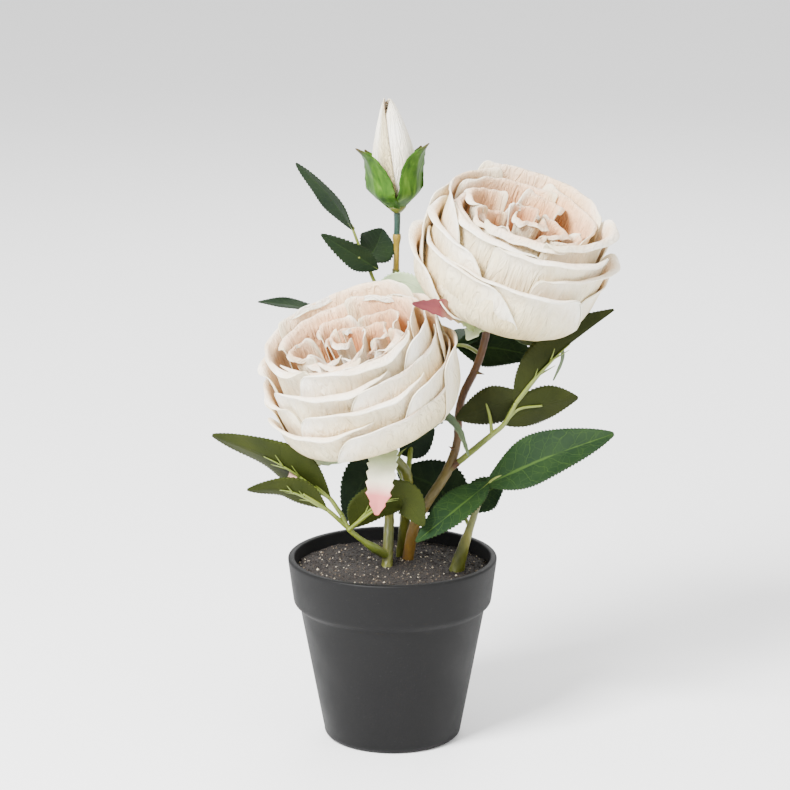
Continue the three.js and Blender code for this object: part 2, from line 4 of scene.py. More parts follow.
import bpy
import numpy as np
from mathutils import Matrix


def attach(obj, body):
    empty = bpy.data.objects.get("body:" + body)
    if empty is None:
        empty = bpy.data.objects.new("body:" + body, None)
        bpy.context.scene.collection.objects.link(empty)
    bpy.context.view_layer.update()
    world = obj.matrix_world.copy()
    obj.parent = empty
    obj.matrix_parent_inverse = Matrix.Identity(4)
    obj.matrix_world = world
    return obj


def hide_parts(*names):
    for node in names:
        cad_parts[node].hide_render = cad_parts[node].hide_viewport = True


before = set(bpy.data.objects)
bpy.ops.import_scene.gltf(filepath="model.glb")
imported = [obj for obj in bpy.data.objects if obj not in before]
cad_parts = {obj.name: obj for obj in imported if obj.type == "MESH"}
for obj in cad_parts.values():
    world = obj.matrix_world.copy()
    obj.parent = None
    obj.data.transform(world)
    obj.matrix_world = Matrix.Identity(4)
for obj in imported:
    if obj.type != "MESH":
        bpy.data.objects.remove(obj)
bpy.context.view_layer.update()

# An artificial potted rose.  Shapes are worked out in millimetres in the part's own
# frame (+Z up, -Y the front) and are put into Blender in metres.
MM = 0.001
SEED = 7

# ---- sizes, as in the part's source ----

POT_HEIGHT = 111.0
RIM_RADIUS = 62.2
RIM_WALL = 3.9
BAND_HEIGHT = 27.0
BAND_STEP = 3.6
FOOT_RADIUS = 41.1
FOOT_ROUND = 4.2
BODY_TOP_RADIUS = 55.2
POT_WALL = 3.2
POT_FLOOR = 3.6
POT_SIDES = 160
BODY_TOP = POT_HEIGHT - BAND_HEIGHT - BAND_STEP

GRIT_LEVEL = 103.0
GRIT_CROWN = 1.2
GRIT_RADIUS = RIM_RADIUS - RIM_WALL - 0.4
GRAIN_COUNT = 4400

BLOOM_RADIUS = 60.0
BLOOM_HEIGHT = 73.0
HIP_RADIUS = 9.0
HIP_HEIGHT = 9.0
PETAL_THICK = 0.5
LEAF_THICK = 0.55
RIB_RADIUS = 0.85
STEM_ROOT_DEPTH = 12.0
LEAF_WIDEST = 0.42
# the length of edge that one tooth takes
LEAF_TOOTH = 2.1
SEPAL_TOOTH = 7.0
# where a leaf's rib ends along it, and where its barbs leave it to the right or the left
RIB_END = 0.62
RIB_BARBS = ((0.22, 1), (0.3, -1), (0.42, 1), (0.46, -1))

STEMS = {
    "stem_left_rose": (
        [(5.2, 21, 104), (7.4, 17.5, 127), (9.2, 8, 149),
         (7.6, 0, 163), (-1.4, -6.6, 175.5), (-4.6, -8.7, 183.6)],
        [3.2, 3.2, 3.1, 3.0, 2.9, 2.9],
    ),
    "stem_right_rose": (
        [(9, 13, 104), (13.4, 10.5, 127), (22, 9, 143), (32.5, 10, 160), (38.2, 13, 176),
         (39.6, 17, 196), (42.5, 19, 206), (49, 22, 219), (53.6, 24, 232), (57.2, 22.7, 250.2)],
        [3.5, 3.2, 2.9, 3.0, 2.5, 2.3, 2.4, 2.4, 2.3, 2.4],
    ),
    "stem_bud": (
        [(-3.3, 0, 103), (-2, 10, 128), (-1, 32, 159),
         (0.9, 52, 205), (1.5, 53, 256), (2.1, 51, 274)],
        [3.3, 3.0, 2.1, 2.0, 2.0, 2.3],
    ),
    "stem_side": (
        [(37.8, -6, 102.5), (41.8, -6, 117), (46.4, -8, 132), (51, -10, 147.5), (54.4, -12, 156)],
        [4.6, 3.4, 2.2, 2.0, 1.6],
    ),
}
THORNS = [((38, 13, 172), (33.4, 9, 175.5)), ((48.5, 21.6, 218), (54.5, 19.5, 217))]
BRANCH_STUB = ([(31, 10, 159), (36.5, 9.2, 163.4), (39.5, 7.8, 166.6)], [2.2, 2.0, 1.9])

Leaf = namedtuple("Leaf", "points width facing tone fold rib", defaults=(12, True))
Sepal = namedtuple("Sepal", "path width facing tint")
Ring = namedtuple("Ring", "count turn span belly rim lip drop sway scroll", defaults=(0.04, 1.0))

# Each spray is a branching stalk, as (points, radii) pairs, with its leaves.  A leaf's
# facing is the way its green upper side looks, and its tone runs from olive to dark.
SPRAYS = {
    "spray_top_left": (
        [([(1.6, 52.6, 257), (-5.7, 42, 262), (-9, 38, 266),
           (-15.7, 36, 282), (-20.4, 36, 293), (-24, 36, 303)], [1.3, 1.3, 1.1, 1.1, 0.9, 0.8]),
         ([(-15.7, 36, 282), (-17, 33.5, 283.6), (-20, 30, 285.8)], [1.0, 0.9, 0.7])],
        [Leaf([(-23.4, 36, 301), (-38, 33, 323), (-56.7, 34, 341.4)], 19, (-0.75, -0.6, -0.2), 0.95),
         Leaf([(-8.5, 32, 278), (-22, 30, 287), (-42, 28, 300)], 17, (-0.1, -0.95, -0.2), 0.95),
         Leaf([(-15.7, 36, 282), (-10, 50, 288), (-6, 64, 296)], 24, (0.3, -0.75, 0.5), 0.9),
         Leaf([(-9, 38, 266), (3, 34, 270), (13, 31, 268), (23, 33, 260)],
              15, (0, 0.9, 0.4), 0.0, 6, False)],
    ),
    "spray_behind_left_rose": (
        [([(8.6, 4.8, 154.6), (11, 32, 178), (6, 53, 206), (-18, 60, 236), (-40, 52, 247)],
          [1.6, 1.6, 1.4, 1.2, 0.9])],
        [Leaf([(-38.5, 52.4, 246.3), (-60, 45, 253), (-80.2, 40, 256.4)], 15, (0.1, -0.25, 0.96), 0.9),
         Leaf([(-17, 59.8, 235.6), (-25, 63, 208), (-30, 60, 180)], 26, (-0.2, 0.9, 0.2), 0.7),
         Leaf([(5.5, 53.2, 206.5), (24, 62, 216), (40, 66, 232)], 26, (0.1, 0.9, 0.4), 0.7)],
    ),
    "spray_under_left_rose": (
        [([(9, 8, 149.6), (2, 18, 161), (-6, 21, 166)], [1.4, 1.3, 1.1]),
         ([(2, 18, 161), (5, 21, 169), (9, 23, 172)], [1.2, 1.1, 0.9])],
        [Leaf([(-5.2, 20.8, 165.6), (-17, 21, 152), (-28.4, 13, 128)], 27, (-0.1, -0.9, 0.35), 1.0, 8),
         Leaf([(4.6, 20.7, 168), (14, 24, 175), (25, 26, 182)], 24, (0.2, -0.9, -0.3), 1.0, 8)],
    ),
    "spray_under_right_rose": (
        [([(52.6, 24, 228), (44, 33, 231), (37, 38, 230.5)], [1.3, 1.2, 0.9])],
        [Leaf([(38, 37, 230.5), (60, 41, 228), (85, 38, 224)], 27, (0.1, -0.85, 0.5), 0.8),
         Leaf([(44, 33, 231), (52, 58, 233), (68, 84, 230)], 28, (-0.1, 0.15, 1), 0.7)],
    ),
    "spray_right_branch": (
        [([(39, 8.1, 166), (47, 4, 174), (57.5, -2, 184.8), (65.6, -4, 192.6), (72.5, -5, 205.6)],
          [1.9, 1.9, 1.7, 1.4, 1.3]),
         ([(72.5, -5, 205.6), (82, -7, 219), (95, -9, 234)], [1.3, 1.1, 0.6]),
         ([(58.5, -3, 186), (57.4, -1, 196), (54.6, 2, 206)], [1.2, 1.0, 0.6]),
         ([(67, -4, 195), (74, -4, 201.5), (88, -1, 203)], [1.2, 0.9, 0.6])],
        [Leaf([(72, -4, 205), (96, -6, 235), (130, 6, 259)], 24, (-0.48, 0.69, 0.35), 0.7, 40),
         Leaf([(76.5, -5.8, 211), (56.4, 0.4, 201), (37.6, 3, 194.2)], 24, (0.1, 0.95, 0.1), 0.8, 14, False),
         Leaf([(65.6, -4, 192.6), (88, 0, 203), (109.6, 8, 205.5)], 26, (-0.2, 0.9, 0.3), 0.5, 6, False)],
    ),
    "spray_right_front": (
        [([(53.6, -11.8, 155), (60, -14, 162), (70, -18, 167)], [1.2, 1.0, 0.6])],
        [Leaf([(55, -13, 158), (90, -26, 178), (128.5, -30, 193.5)], 33, (-0.25, -0.72, 0.65), 0.6, 14),
         Leaf([(56.6, -13.2, 159.2), (37, -31, 148), (13.7, -42, 131.7)], 22, (-0.35, -0.8, 0.45), 0.5, 18)],
    ),
    "spray_back_centre": (
        [([(45.3, -7.5, 128.2), (45, 4, 129), (42, 13, 133)], [1.3, 1.2, 1.0]),
         ([(42, 13, 133), (48, 17, 138), (54, 18, 142)], [1.0, 0.9, 0.6])],
        [Leaf([(42, 13, 133), (26, 26, 146), (3, 31, 154)], 34, (0.1, -0.95, 0.2), 0.95, 8),
         Leaf([(44, 14, 134), (56, 19, 144), (67, 18, 151)], 22, (-0.1, -0.9, 0.3), 0.7, 8)],
    ),
    "spray_left": (
        [([(-4, 1.6, 110.5), (-10.5, -8, 117.5), (-18, -14, 124.5), (-26, -18, 133), (-30, -20, 142)],
          [2.6, 3.0, 1.6, 1.6, 1.4]),
         ([(-30, -20, 142), (-38, -22, 154), (-54, -24, 169), (-80, -22, 180)], [1.4, 1.3, 1.0, 0.5]),
         ([(-27, -18.4, 134), (-39, -25, 147), (-52, -29, 157)], [1.4, 1.2, 0.6]),
         ([(-25.6, -18, 132), (-18, -27, 141), (-5, -35, 153)], [1.4, 1.2, 0.6])],
        [Leaf([(-37, -22, 153), (-66, -25, 174.5), (-105.2, -20, 190)], 34, (0.3, 0.75, 0.6), 0.3),
         Leaf([(-38.6, -24.8, 146.7), (-60, -29, 159), (-84.7, -30, 159.7)], 21, (0.1, 0.8, 0.6), 0.3),
         Leaf([(-24, -20, 134), (-11, -31, 150), (6, -38, 157), (18.3, -44, 142)],
              31, (-0.1, 0.85, 0.5), 0.3, 6)],
    ),
}

# A bloom's hand is the way that its petals lap and their rims climb.
BLOOMS = {
    "rose_left": dict(base=(-6.5, -10, 189.5), axis=(-0.297, -0.216, 0.931), seed=2.9, hand=-1),
    "rose_right": dict(base=(59, 21, 256), axis=(0.289, -0.277, 0.917), seed=0.4, hand=1),
}

# A sepal's path gives turns in degrees, radii and heights in its bloom's frame.  Its tint
# runs from a dark strap (0) over plain pale green (0.4) to a crimson tip (1).
BACK_SEPAL = Sepal([(170, 7, -3), (172, 34, 2), (175, 54, 5)], 14, (0, 0.7, 0.7), 0.4)
SEPALS = {
    "rose_left": [
        Sepal([(0, 7, -3), (-2, 28, -1), (-5, 39, -4), (-11, 45, -14), (-18, 47.5, -28)],
              18, (0, -0.7, 0.7), 0.8),
        Sepal([(-80, 7, -3), (-84, 30, -5), (-82, 43, -1), (-77, 54, -1), (-74, 63, -8)],
              10, (-0.1, -0.95, 0.3), 0.65),
        Sepal([(60, 7, -3), (62, 32, 3), (66, 43, 6), (67, 48, -4), (65, 50, -22)],
              8, (0.75, -0.5, 0.45), 0.0),
        BACK_SEPAL,
    ],
    "rose_right": [
        Sepal([(-24, 7, -3), (-24, 18, -3), (-32, 36, 7), (-36, 57, 15), (-40, 79, 20)],
              13, (0.15, -0.93, 0.3), 1.0),
        Sepal([(-30, 7, -3), (-24, 18, -3), (-20.5, 25, -5), (-20.8, 31, -9)], 11, (-0.3, -0.9, 0.3), 0.4),
        Sepal([(45, 7, -3), (55, 23, -7), (67, 35, -5), (69, 45, -1), (67, 50, -6), (61, 52, -20)],
              7, (0.9, -0.35, 0.4), 0.0),
        BACK_SEPAL,
    ],
}

# Rings of petals from the outside in.  Belly, rim and lip are radius and height in shares of
# the bloom's.  Turn is where the first petal stands and span how far one reaches to each
# side, in degrees.  Drop is how far its sides fall, sway how unlike the petals are, and a
# scroll under 1 curls them tighter than their ring.
CUP_RINGS = [
    Ring(4, 4, 64, (0.8, 0.14), (0.94, 0.5), (0.04, 0.02), 0.62, sway=0.1),
    Ring(4, 50, 60, (0.775, 0.18), (0.915, 0.64), (0.04, 0.02), 0.58, sway=0.08),
    Ring(4, 22, 60, (0.745, 0.22), (0.865, 0.79), (0.05, 0.02), 0.52, sway=0.07),
    Ring(4, 62, 62, (0.7, 0.28), (0.785, 0.92), (0.05, 0.01), 0.42, sway=0.05),
]
HEART_RINGS = [
    Ring(4, 10, 56, (0.58, 0.42), (0.66, 0.9), (0.05, -0.01), 0.34),
    Ring(5, 40, 88, (0.48, 0.42), (0.56, 0.83), (0.06, -0.01), 0.42, scroll=0.42),
    Ring(4, 0, 96, (0.28, 0.42), (0.37, 0.83), (0.05, 0.0), 0.4, scroll=0.5),
    Ring(2, 70, 90, (0.1, 0.45), (0.16, 0.84), (0.03, 0.0), 0.36, scroll=0.9),
]
# radius and height of the floor that the cup's petals stand on, and of the hip under it
CUP_FLOOR_RADIUS = 0.5 * BLOOM_RADIUS
CUP_FLOOR_TOP = 0.11 * BLOOM_HEIGHT
CUP_FLOOR = [
    (0, 0), (HIP_RADIUS, 0), (CUP_FLOOR_RADIUS, CUP_FLOOR_TOP * 0.7),
    (CUP_FLOOR_RADIUS, CUP_FLOOR_TOP * 1.7), (0.55 * CUP_FLOOR_RADIUS, CUP_FLOOR_TOP * 1.2),
    (HIP_RADIUS, CUP_FLOOR_TOP), (0, CUP_FLOOR_TOP),
]
HIP_PROFILE = [
    (0, -HIP_HEIGHT), (0.36 * HIP_RADIUS, -HIP_HEIGHT), (0.5 * HIP_RADIUS, -0.8 * HIP_HEIGHT),
    (0.8 * HIP_RADIUS, -0.55 * HIP_HEIGHT), (0.97 * HIP_RADIUS, -0.25 * HIP_HEIGHT), (HIP_RADIUS, -0.3),
    (0, -0.3),
]

# the petals' roots, how high their rims ruffle, and how far they stray in degrees
CUP = dict(root=(0.12, 0.07), ruffle=1.3, stray=8.0)
HEART = dict(root=(0.06, 0.3), ruffle=1.6, stray=9.0)
# where along a petal its plain part ends, and the roll of its lip beyond
PLAIN = 0.92
ROLL = 0.45
ROLL_TURN = math.radians(140)
# how far rims climb from side to side, how much drops differ, and the depth of creases
CLIMB = 0.3
DROP_SPREAD = 0.14
CREASE = 0.22
PETAL_COLUMNS = 44
PETAL_ROWS = np.concatenate([np.linspace(0, PLAIN, 17)[:-1], np.linspace(PLAIN, 1, 7)])
# the width and length of a petal's flat cloth, for the run of its creases
PETAL_CLOTH = (70.0, 66.0)
BUD_CLOTH = (60.0, 60.0)

BUD_BASE = (2.7, 49, 314)
BUD_TIP = (-2, 44, 379)
BUD_RADIUS = 13.6
# radius and height in shares of the bud's radius and length
BUD_PROFILE = [(0.4, 0.0), (0.93, 0.2), (1.0, 0.42), (0.78, 0.64), (0.42, 0.87), (0.1, 1.0)]
# turn and span in degrees, top as a share of the bud, how far out, and the tip's lean
BUD_WRAPS = [
    (-100, 105, 0.985, 0.0, -2.2),
    (56, 88, 0.94, 0.8, -0.6),
    (150, 100, 0.95, 0.9, -0.8),
]
BUD_HUSK = [(0, -5), (2.4, -5), (3.6, -4), (5.4, -2), (5.8, -0.3), (0, -0.3)]
# under the husk: a blue-green tube and the yellow-brown peg that it sits on
BUD_TUBE = ([(2.7, 49.5, 311), (2.8, 50.5, 302), (2.6, 51, 294.5)], [2.1, 1.9, 1.8])
BUD_PEG = (
    [(2.6, 51, 295.5), (2.6, 51, 293), (2.5, 51, 288), (2.1, 51, 272.5)],
    [2.4, 2.6, 1.7, 1.9],
)
BUD_SEPAL_TURNS = (-50, 50, 122, 180, -122)
# radius and height along a bud's sepal: the start that all share, and the ends
BUD_SEPAL_START = [(4, -2), (14.6, 8), (16.2, 20)]
BUD_SEPAL_FRONT = [(20.2, 31.2), (28, 40)]
BUD_SEPAL_BACK = [(16.9, 25.5), (20, 32)]


# ---- curves and sheets ----


def unit(v):
    v = np.asarray(v, float)
    return v / np.maximum(np.linalg.norm(v, axis=-1, keepdims=True), 1e-9)


def smooth(x, low, high):
    x = np.clip((x - low) / (high - low), 0, 1)
    return x * x * (3 - 2 * x)


def between(p, u):
    """The four points about each u, and how far it is between the middle two, on a curve
    with a spare point at each end."""
    along = np.clip(u, 0, 1) * (len(p) - 3)
    k = np.minimum(along.astype(int), len(p) - 4)
    return *(p[k + i] for i in range(4)), (along - k)[..., None]


def cubic(x1, x2, v1, v2, w):
    c2 = 3 * (x2 - x1) - 2 * v1 - v2
    return x1 + v1 * w + c2 * w**2 + (2 * (x1 - x2) + v1 + v2) * w**3


class Path:
    """A centripetal Catmull-Rom curve through its points, for arrays of u from 0 to 1."""

    def __init__(self, points):
        p = np.array(points, float)
        self.p = np.vstack([2 * p[0] - p[1], p, 2 * p[-1] - p[-2]])
        fine = self.at(np.linspace(0, 1, 60))
        self.length = float(np.linalg.norm(np.diff(fine, axis=0), axis=1).sum())

    def at(self, u):
        x0, x1, x2, x3, w = between(self.p, np.asarray(u, float))
        d0, d1, d2 = (
            np.linalg.norm(b - a, axis=-1, keepdims=True) ** 0.5 + 1e-9
            for a, b in ((x0, x1), (x1, x2), (x2, x3))
        )
        t1 = ((x1 - x0) / d0 - (x2 - x0) / (d0 + d1) + (x2 - x1) / d1) * d1
        t2 = ((x2 - x1) / d1 - (x3 - x1) / (d1 + d2) + (x3 - x2) / d2) * d1
        return cubic(x1, x2, t1, t2, w)

    def tangent(self, u):
        u = np.asarray(u, float)
        return unit(self.at(np.minimum(u + 1e-3, 1)) - self.at(np.maximum(u - 1e-3, 0)))


def link_object(name, data):
    made = bpy.data.objects.new(name, data)
    bpy.context.scene.collection.objects.link(made)
    return made


class Shape:
    """Points, faces, a tint (four numbers a point) and a place on flat cloth (three
    numbers a point) that grow piece by piece."""

    def __init__(self):
        self.points, self.faces, self.tints, self.cloths = [], [], [], []
        self.count = 0

    def add(self, points, faces, tint, cloth=None):
        points = np.asarray(points, float).reshape(-1, 3)
        self.points.append(points)
        self.faces.extend((np.asarray(face) + self.count).tolist() for face in faces)
        self.tints.append(np.asarray(tint, float).reshape(-1, 4))
        self.cloths.append(points if cloth is None else np.asarray(cloth, float).reshape(-1, 3))
        self.count += len(points)

    def build(self, name, look, slot, replaces=(), angle=None):
        mesh = bpy.data.meshes.new(name)
        mesh.from_pydata((np.vstack(self.points) * MM).tolist(), [], self.faces)
        tint = mesh.attributes.new("tint", "FLOAT_COLOR", "POINT")
        tint.data.foreach_set("color", np.vstack(self.tints).astype(np.float32).ravel())
        cloth = mesh.attributes.new("cloth", "FLOAT_VECTOR", "POINT")
        cloth.data.foreach_set("vector", (np.vstack(self.cloths) * MM).astype(np.float32).ravel())
        mesh.polygons.foreach_set("use_smooth", [True] * len(mesh.polygons))
        if angle is not None:
            mesh.set_sharp_from_angle(angle=math.radians(angle))
        mesh.materials.append(look.material)
        piece = link_object(name, mesh)
        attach(piece, "root")
        if replaces:
            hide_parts(*replaces)


def circle(sides):
    return np.linspace(0, 2 * np.pi, sides, endpoint=False)


def grid_faces(across, along, first=0, flip=False):
    row = across + 1
    a = np.arange(along)[:, None] * row + np.arange(across)[None, :] + first
    quads = np.stack([a, a + 1, a + row + 1, a + row], -1).reshape(-1, 4)
    return quads[:, ::-1] if flip else quads


def tube_faces(rings, sides):
    """Quads between rings of points that have as many points each."""
    start = np.arange(rings - 1)[:, None] * sides
    here = np.arange(sides)[None]
    after = (here + 1) % sides
    a, b = (start + here).ravel(), (start + after).ravel()
    return np.stack([a, b, b + sides, a + sides], -1).tolist()


def cap_faces(first, sides, hub, flip=False):
    """Triangles from a ring of points to the point at its hub."""
    pairs = [(first + i, first + (i + 1) % sides) for i in range(sides)]
    return [[k, i, hub] if flip else [i, k, hub] for i, k in pairs]


def sheet_walls(across, along):
    """Quads that close a sheet's upper and under layers along its rim."""
    row = across + 1
    rim = list(range(across))
    rim += [j * row + across for j in range(along)]
    rim += [along * row + i for i in range(across, 0, -1)]
    rim += [j * row for j in range(along, 0, -1)]
    rim = np.array(rim)
    after = np.roll(rim, -1)
    layer = row * (along + 1)
    return np.stack([after, rim, rim + layer, after + layer], -1)


def add_sheet(shape, surface, across, rows, thickness, tint, cloth_size=(20.0, 60.0), crowd=False):
    """A closed sheet about surface(s, t), s from -1 to 1 and t over the rows.  tint(s, t)
    gives three numbers and the fourth is 1 on the upper side and 0 on the under side.
    A crowded sheet has its columns closer together at its sides."""
    columns = np.linspace(-1, 1, across + 1)
    if crowd:
        columns = np.sin(columns * np.pi / 2)
    s, t = np.meshgrid(columns, rows)
    along = len(rows) - 1
    layer = (across + 1) * (along + 1)
    step = 1e-3
    over_s = surface(s + step, t) - surface(s - step, t)
    over_t = surface(s, t + step) - surface(s, t - step)
    normal = unit(np.cross(over_s, over_t))
    middle = surface(s, t)
    upper, under = middle + normal * thickness / 2, middle - normal * thickness / 2
    points = np.concatenate([upper.reshape(-1, 3), under.reshape(-1, 3)])
    back = grid_faces(across, along, layer, True)
    faces = np.vstack([grid_faces(across, along), back, sheet_walls(across, along)])
    colours = np.stack([np.broadcast_to(c, s.shape) for c in tint(s, t)], -1).reshape(-1, 3)
    upper_tint = np.hstack([colours, np.ones((layer, 1))])
    under_tint = np.hstack([colours, np.zeros((layer, 1))])
    # a number for each sheet keeps the noise on its cloth unlike the next one's
    number = np.full_like(s, shape.count % 997)
    cloth = np.stack([s * cloth_size[0] / 2, t * cloth_size[1], number], -1).reshape(-1, 3)
    shape.add(points, faces, np.vstack([upper_tint, under_tint]), np.vstack([cloth, cloth]))


def add_limb(shape, points, radii, tone=0.5, sides=12, step=1.2, rough=0.0, seed=0):
    """A round tapering limb through points, with a radius for each of them."""
    path = Path(points)
    steps = max(int(path.length / step), 4)
    u = np.linspace(0, 1, steps + 1)
    centre, tangent = path.at(u), path.tangent(u)
    radius = np.interp(u, np.linspace(0, 1, len(radii)), radii)
    normal = np.zeros_like(centre)
    last = np.array([1.0, 0.0, 0.0])
    for j in range(steps + 1):
        last = unit(last - tangent[j] * np.dot(last, tangent[j]))
        normal[j] = last
    other = np.cross(tangent, normal)
    turn = circle(sides)
    lumps = np.sin(5 * turn[None] + 9 * seed + 23 * u[:, None])
    wave = 1 + rough * lumps * np.sin(61 * u[:, None] * path.length / 60)
    ahead = normal[:, None] * np.cos(turn)[None, :, None]
    spoke = ahead + other[:, None] * np.sin(turn)[None, :, None]
    rings = centre[:, None] + spoke * (radius[:, None] * wave)[..., None]
    ends = np.arange(sides)
    faces = tube_faces(steps + 1, sides)
    faces += [ends[::-1].tolist(), (ends + steps * sides).tolist()]
    along = np.repeat(u, sides)
    around = np.tile(turn / (2 * np.pi), steps + 1)
    tint = np.stack([along, np.full_like(along, tone), around, np.ones_like(along)], -1)
    shape.add(rings, faces, tint)


def add_lathe(shape, profile, sides, seat=None, tone=0.5):
    """A solid of revolution about +Z whose profile starts and ends on the axis."""
    profile = np.array(profile, float)
    turn = circle(sides)
    radius, height = profile[1:-1, 0][:, None], profile[1:-1, 1][:, None]
    across = [radius * np.sin(turn), -radius * np.cos(turn), np.repeat(height, sides, 1)]
    rings = np.stack(across, -1).reshape(-1, 3)
    points = np.vstack([rings, [0, 0, profile[0, 1]], [0, 0, profile[-1, 1]]])
    rows = len(radius)
    faces = tube_faces(rows, sides)
    faces += cap_faces(0, sides, rows * sides, True)
    faces += cap_faces((rows - 1) * sides, sides, rows * sides + 1)
    if seat is not None:
        points = place(points, seat)
    shape.add(points, faces, np.tile([0.5, tone, 0.5, 1.0], (len(points), 1)))


def bloom_seat(base, axis):
    """A 3x3 matrix of right, back and up columns, and the base."""
    up = unit(axis)
    front = unit(np.array([0.0, -1.0, 0.0]) + up * up[1])
    right = np.cross(up, front)
    return np.stack([right, -front, up], -1), np.array(base, float)


def place(points, seat):
    basis, base = seat
    return points @ basis.T + base


def place_polar(degrees, radius, height, seat):
    """A point at a turn from the front of a bloom's frame."""
    a = math.radians(degrees)
    return place(np.array([radius * math.sin(a), -radius * math.cos(a), height]), seat)


# ---- petals ----


def profile_curve(stops):
    """A uniform Catmull-Rom curve through the stops, clamped at its ends."""
    p = np.array(stops, float)
    p = np.vstack([p[:1], p, p[-1:]])

    def at(u):
        x0, x1, x2, x3, w = between(p, u)
        return cubic(x1, x2, (x2 - x0) / 2, (x3 - x1) / 2, w)

    return at


def petal_curve(ring, root, waves):
    """A petal from the side: radius and height from its root to its lip."""
    scale = np.array([BLOOM_RADIUS, BLOOM_HEIGHT])
    sway = ring.sway * math.sin(2.4 * waves)
    rim = (np.array(ring.rim) + (0, sway)) * scale
    lip = np.array(ring.lip) * scale * (1.15 + 0.85 * math.sin(3.7 * waves))
    return profile_curve([np.array(root) * scale, np.array(ring.belly) * scale, rim, rim + lip])


def rolled(curve, reach, s, t, waves):
    """Radius and height along a petal's curve, with its lip rolled outwards."""
    at = curve(reach)
    way = unit(at - curve(reach - 0.03))
    bend = np.clip((t - PLAIN) / (1 - PLAIN), 0, 1.02) * ROLL_TURN
    roll = ROLL * (0.8 + 0.6 * np.sin(2.2 * s + 1.7 * waves)) * (1 - 0.8 * np.abs(s) ** 3)
    out = at[..., 0] + roll * (np.sin(bend) * way[..., 0] + (1 - np.cos(bend)) * way[..., 1])
    height = at[..., 1] + roll * (np.sin(bend) * way[..., 1] - (1 - np.cos(bend)) * way[..., 0])
    return out, height


def petal_surface(ring, whorl, degrees, waves, hand):
    """A petal's surface(s, t) in its bloom's frame.  The waves make petals unlike."""
    curve, ruffle = petal_curve(ring, whorl["root"], waves), whorl["ruffle"]
    turn, span = math.radians(degrees), math.radians(ring.span)
    climb = CLIMB * (0.6 + 0.6 * math.sin(1.9 * waves))
    drop = ring.drop + DROP_SPREAD * math.sin(5.3 * waves)

    def surface(s, t):
        plain = np.minimum(t / PLAIN, 1)
        lap = hand * s
        arch = 1 - drop * (1 - np.sqrt(np.maximum(1 - 0.985 * s * s, 0)))
        arch = arch - climb * (lap + 0.3) * plain + 0.03 * np.sin(4 * s + 2 * waves) * plain
        out, height = rolled(curve, plain * arch, s, t, waves)
        spiral = 2.0 * lap * plain - 0.8 * s * s
        ripple = 1.5 * plain**2 * np.sin(3 * s + waves)
        wrinkle = np.sin(6 * s + 3.1 * waves) + 0.35 * np.sin(13 * s + waves)
        frill = ruffle * plain**4 * wrinkle
        pucker = CREASE * np.sin(19 * s + 3 * np.sin(4 * t + waves)) * np.sin(np.pi * plain)
        radius = out + spiral + ripple + frill + pucker
        crest = 0.9 * np.cos(5 * s + waves) + 0.35 * np.sin(17 * s + 2 * waves)
        height = height + ruffle * plain**3 * crest
        angle = s * span * (0.55 + 0.45 * np.minimum(plain * 2, 1))
        bow = ring.scroll * radius
        ahead = radius - bow + bow * np.cos(angle)
        aside = bow * np.sin(angle)
        x = ahead * math.sin(turn) + aside * math.cos(turn)
        y = -ahead * math.cos(turn) + aside * math.sin(turn)
        return np.stack([x, y, height], -1)

    return surface


def add_petal(shape, seat, surface, shade_depth, chance):
    def placed(s, t):
        return place(surface(s, t), seat)

    def tint(s, t):
        return t, np.full_like(s, shade_depth), np.full_like(s, chance)

    add_sheet(shape, placed, PETAL_COLUMNS, PETAL_ROWS, PETAL_THICK, tint, PETAL_CLOTH, crowd=True)


def add_ring(shape, bloom, seat, whorl, ring, level, shade_depth, dice):
    seed, stray = bloom["seed"] + level, whorl["stray"]
    for k in range(ring.count):
        degrees = ring.turn + seed * 40 + 360 * k / ring.count + dice.uniform(-stray, stray)
        surface = petal_surface(ring, whorl, degrees, seed + 2.3 * k, bloom["hand"])
        add_petal(shape, seat, surface, shade_depth, dice.random())


def make_bloom(name):
    bloom = BLOOMS[name]
    seat = bloom_seat(bloom["base"], bloom["axis"])
    dice = np.random.default_rng(SEED + int(bloom["seed"] * 10))
    cup, heart = Shape(), Shape()
    # the cup's floor has a tint halfway along the petals' colours, so it shows their painted peach shade
    add_lathe(cup, CUP_FLOOR, 48, seat)
    for ring in CUP_RINGS:
        add_ring(cup, bloom, seat, CUP, ring, 0, 0.0, dice)
    # rings deeper in the heart take more of the painted peach shade
    for level, ring in enumerate(HEART_RINGS):
        add_ring(heart, bloom, seat, HEART, ring, level, 0.4 + 0.2 * level, dice)
    cup.build(name + "_petals", PETAL, "petal", (name + "_cup",))
    heart.build(name + "_inner_petals", PETAL, "petal_heart", (name + "_heart",))


# ---- blades: leaves and sepals ----


def leaf_outline(t):
    lobe = np.where(t < LEAF_WIDEST, t / LEAF_WIDEST, (1 - t) / (1 - LEAF_WIDEST))
    return 0.07 + 0.93 * np.sin(np.pi / 2 * np.clip(lobe, 0, 1)) ** 0.85


def sepal_outline(t):
    tip = np.sqrt(np.clip((1 - t) / 0.22, 0, 1))
    return 0.06 + 0.94 * np.sin(np.pi * np.clip(0.28 + 0.6 * t, 0, 1)) ** 0.6 * tip


def bud_sepal_outline(t):
    low = 0.5 + 0.5 * np.sin(np.pi / 2 * np.clip(t / 0.3, 0, 1))
    high = 0.04 + 0.96 * np.cos(np.pi / 2 * np.clip((t - 0.3) / 0.7, 0, 1)) ** 0.9
    return np.where(t < 0.3, low, high)


def saw(x):
    x = x - np.floor(x)
    return np.where(x < 0.75, x / 0.75, (1 - x) / 0.25)


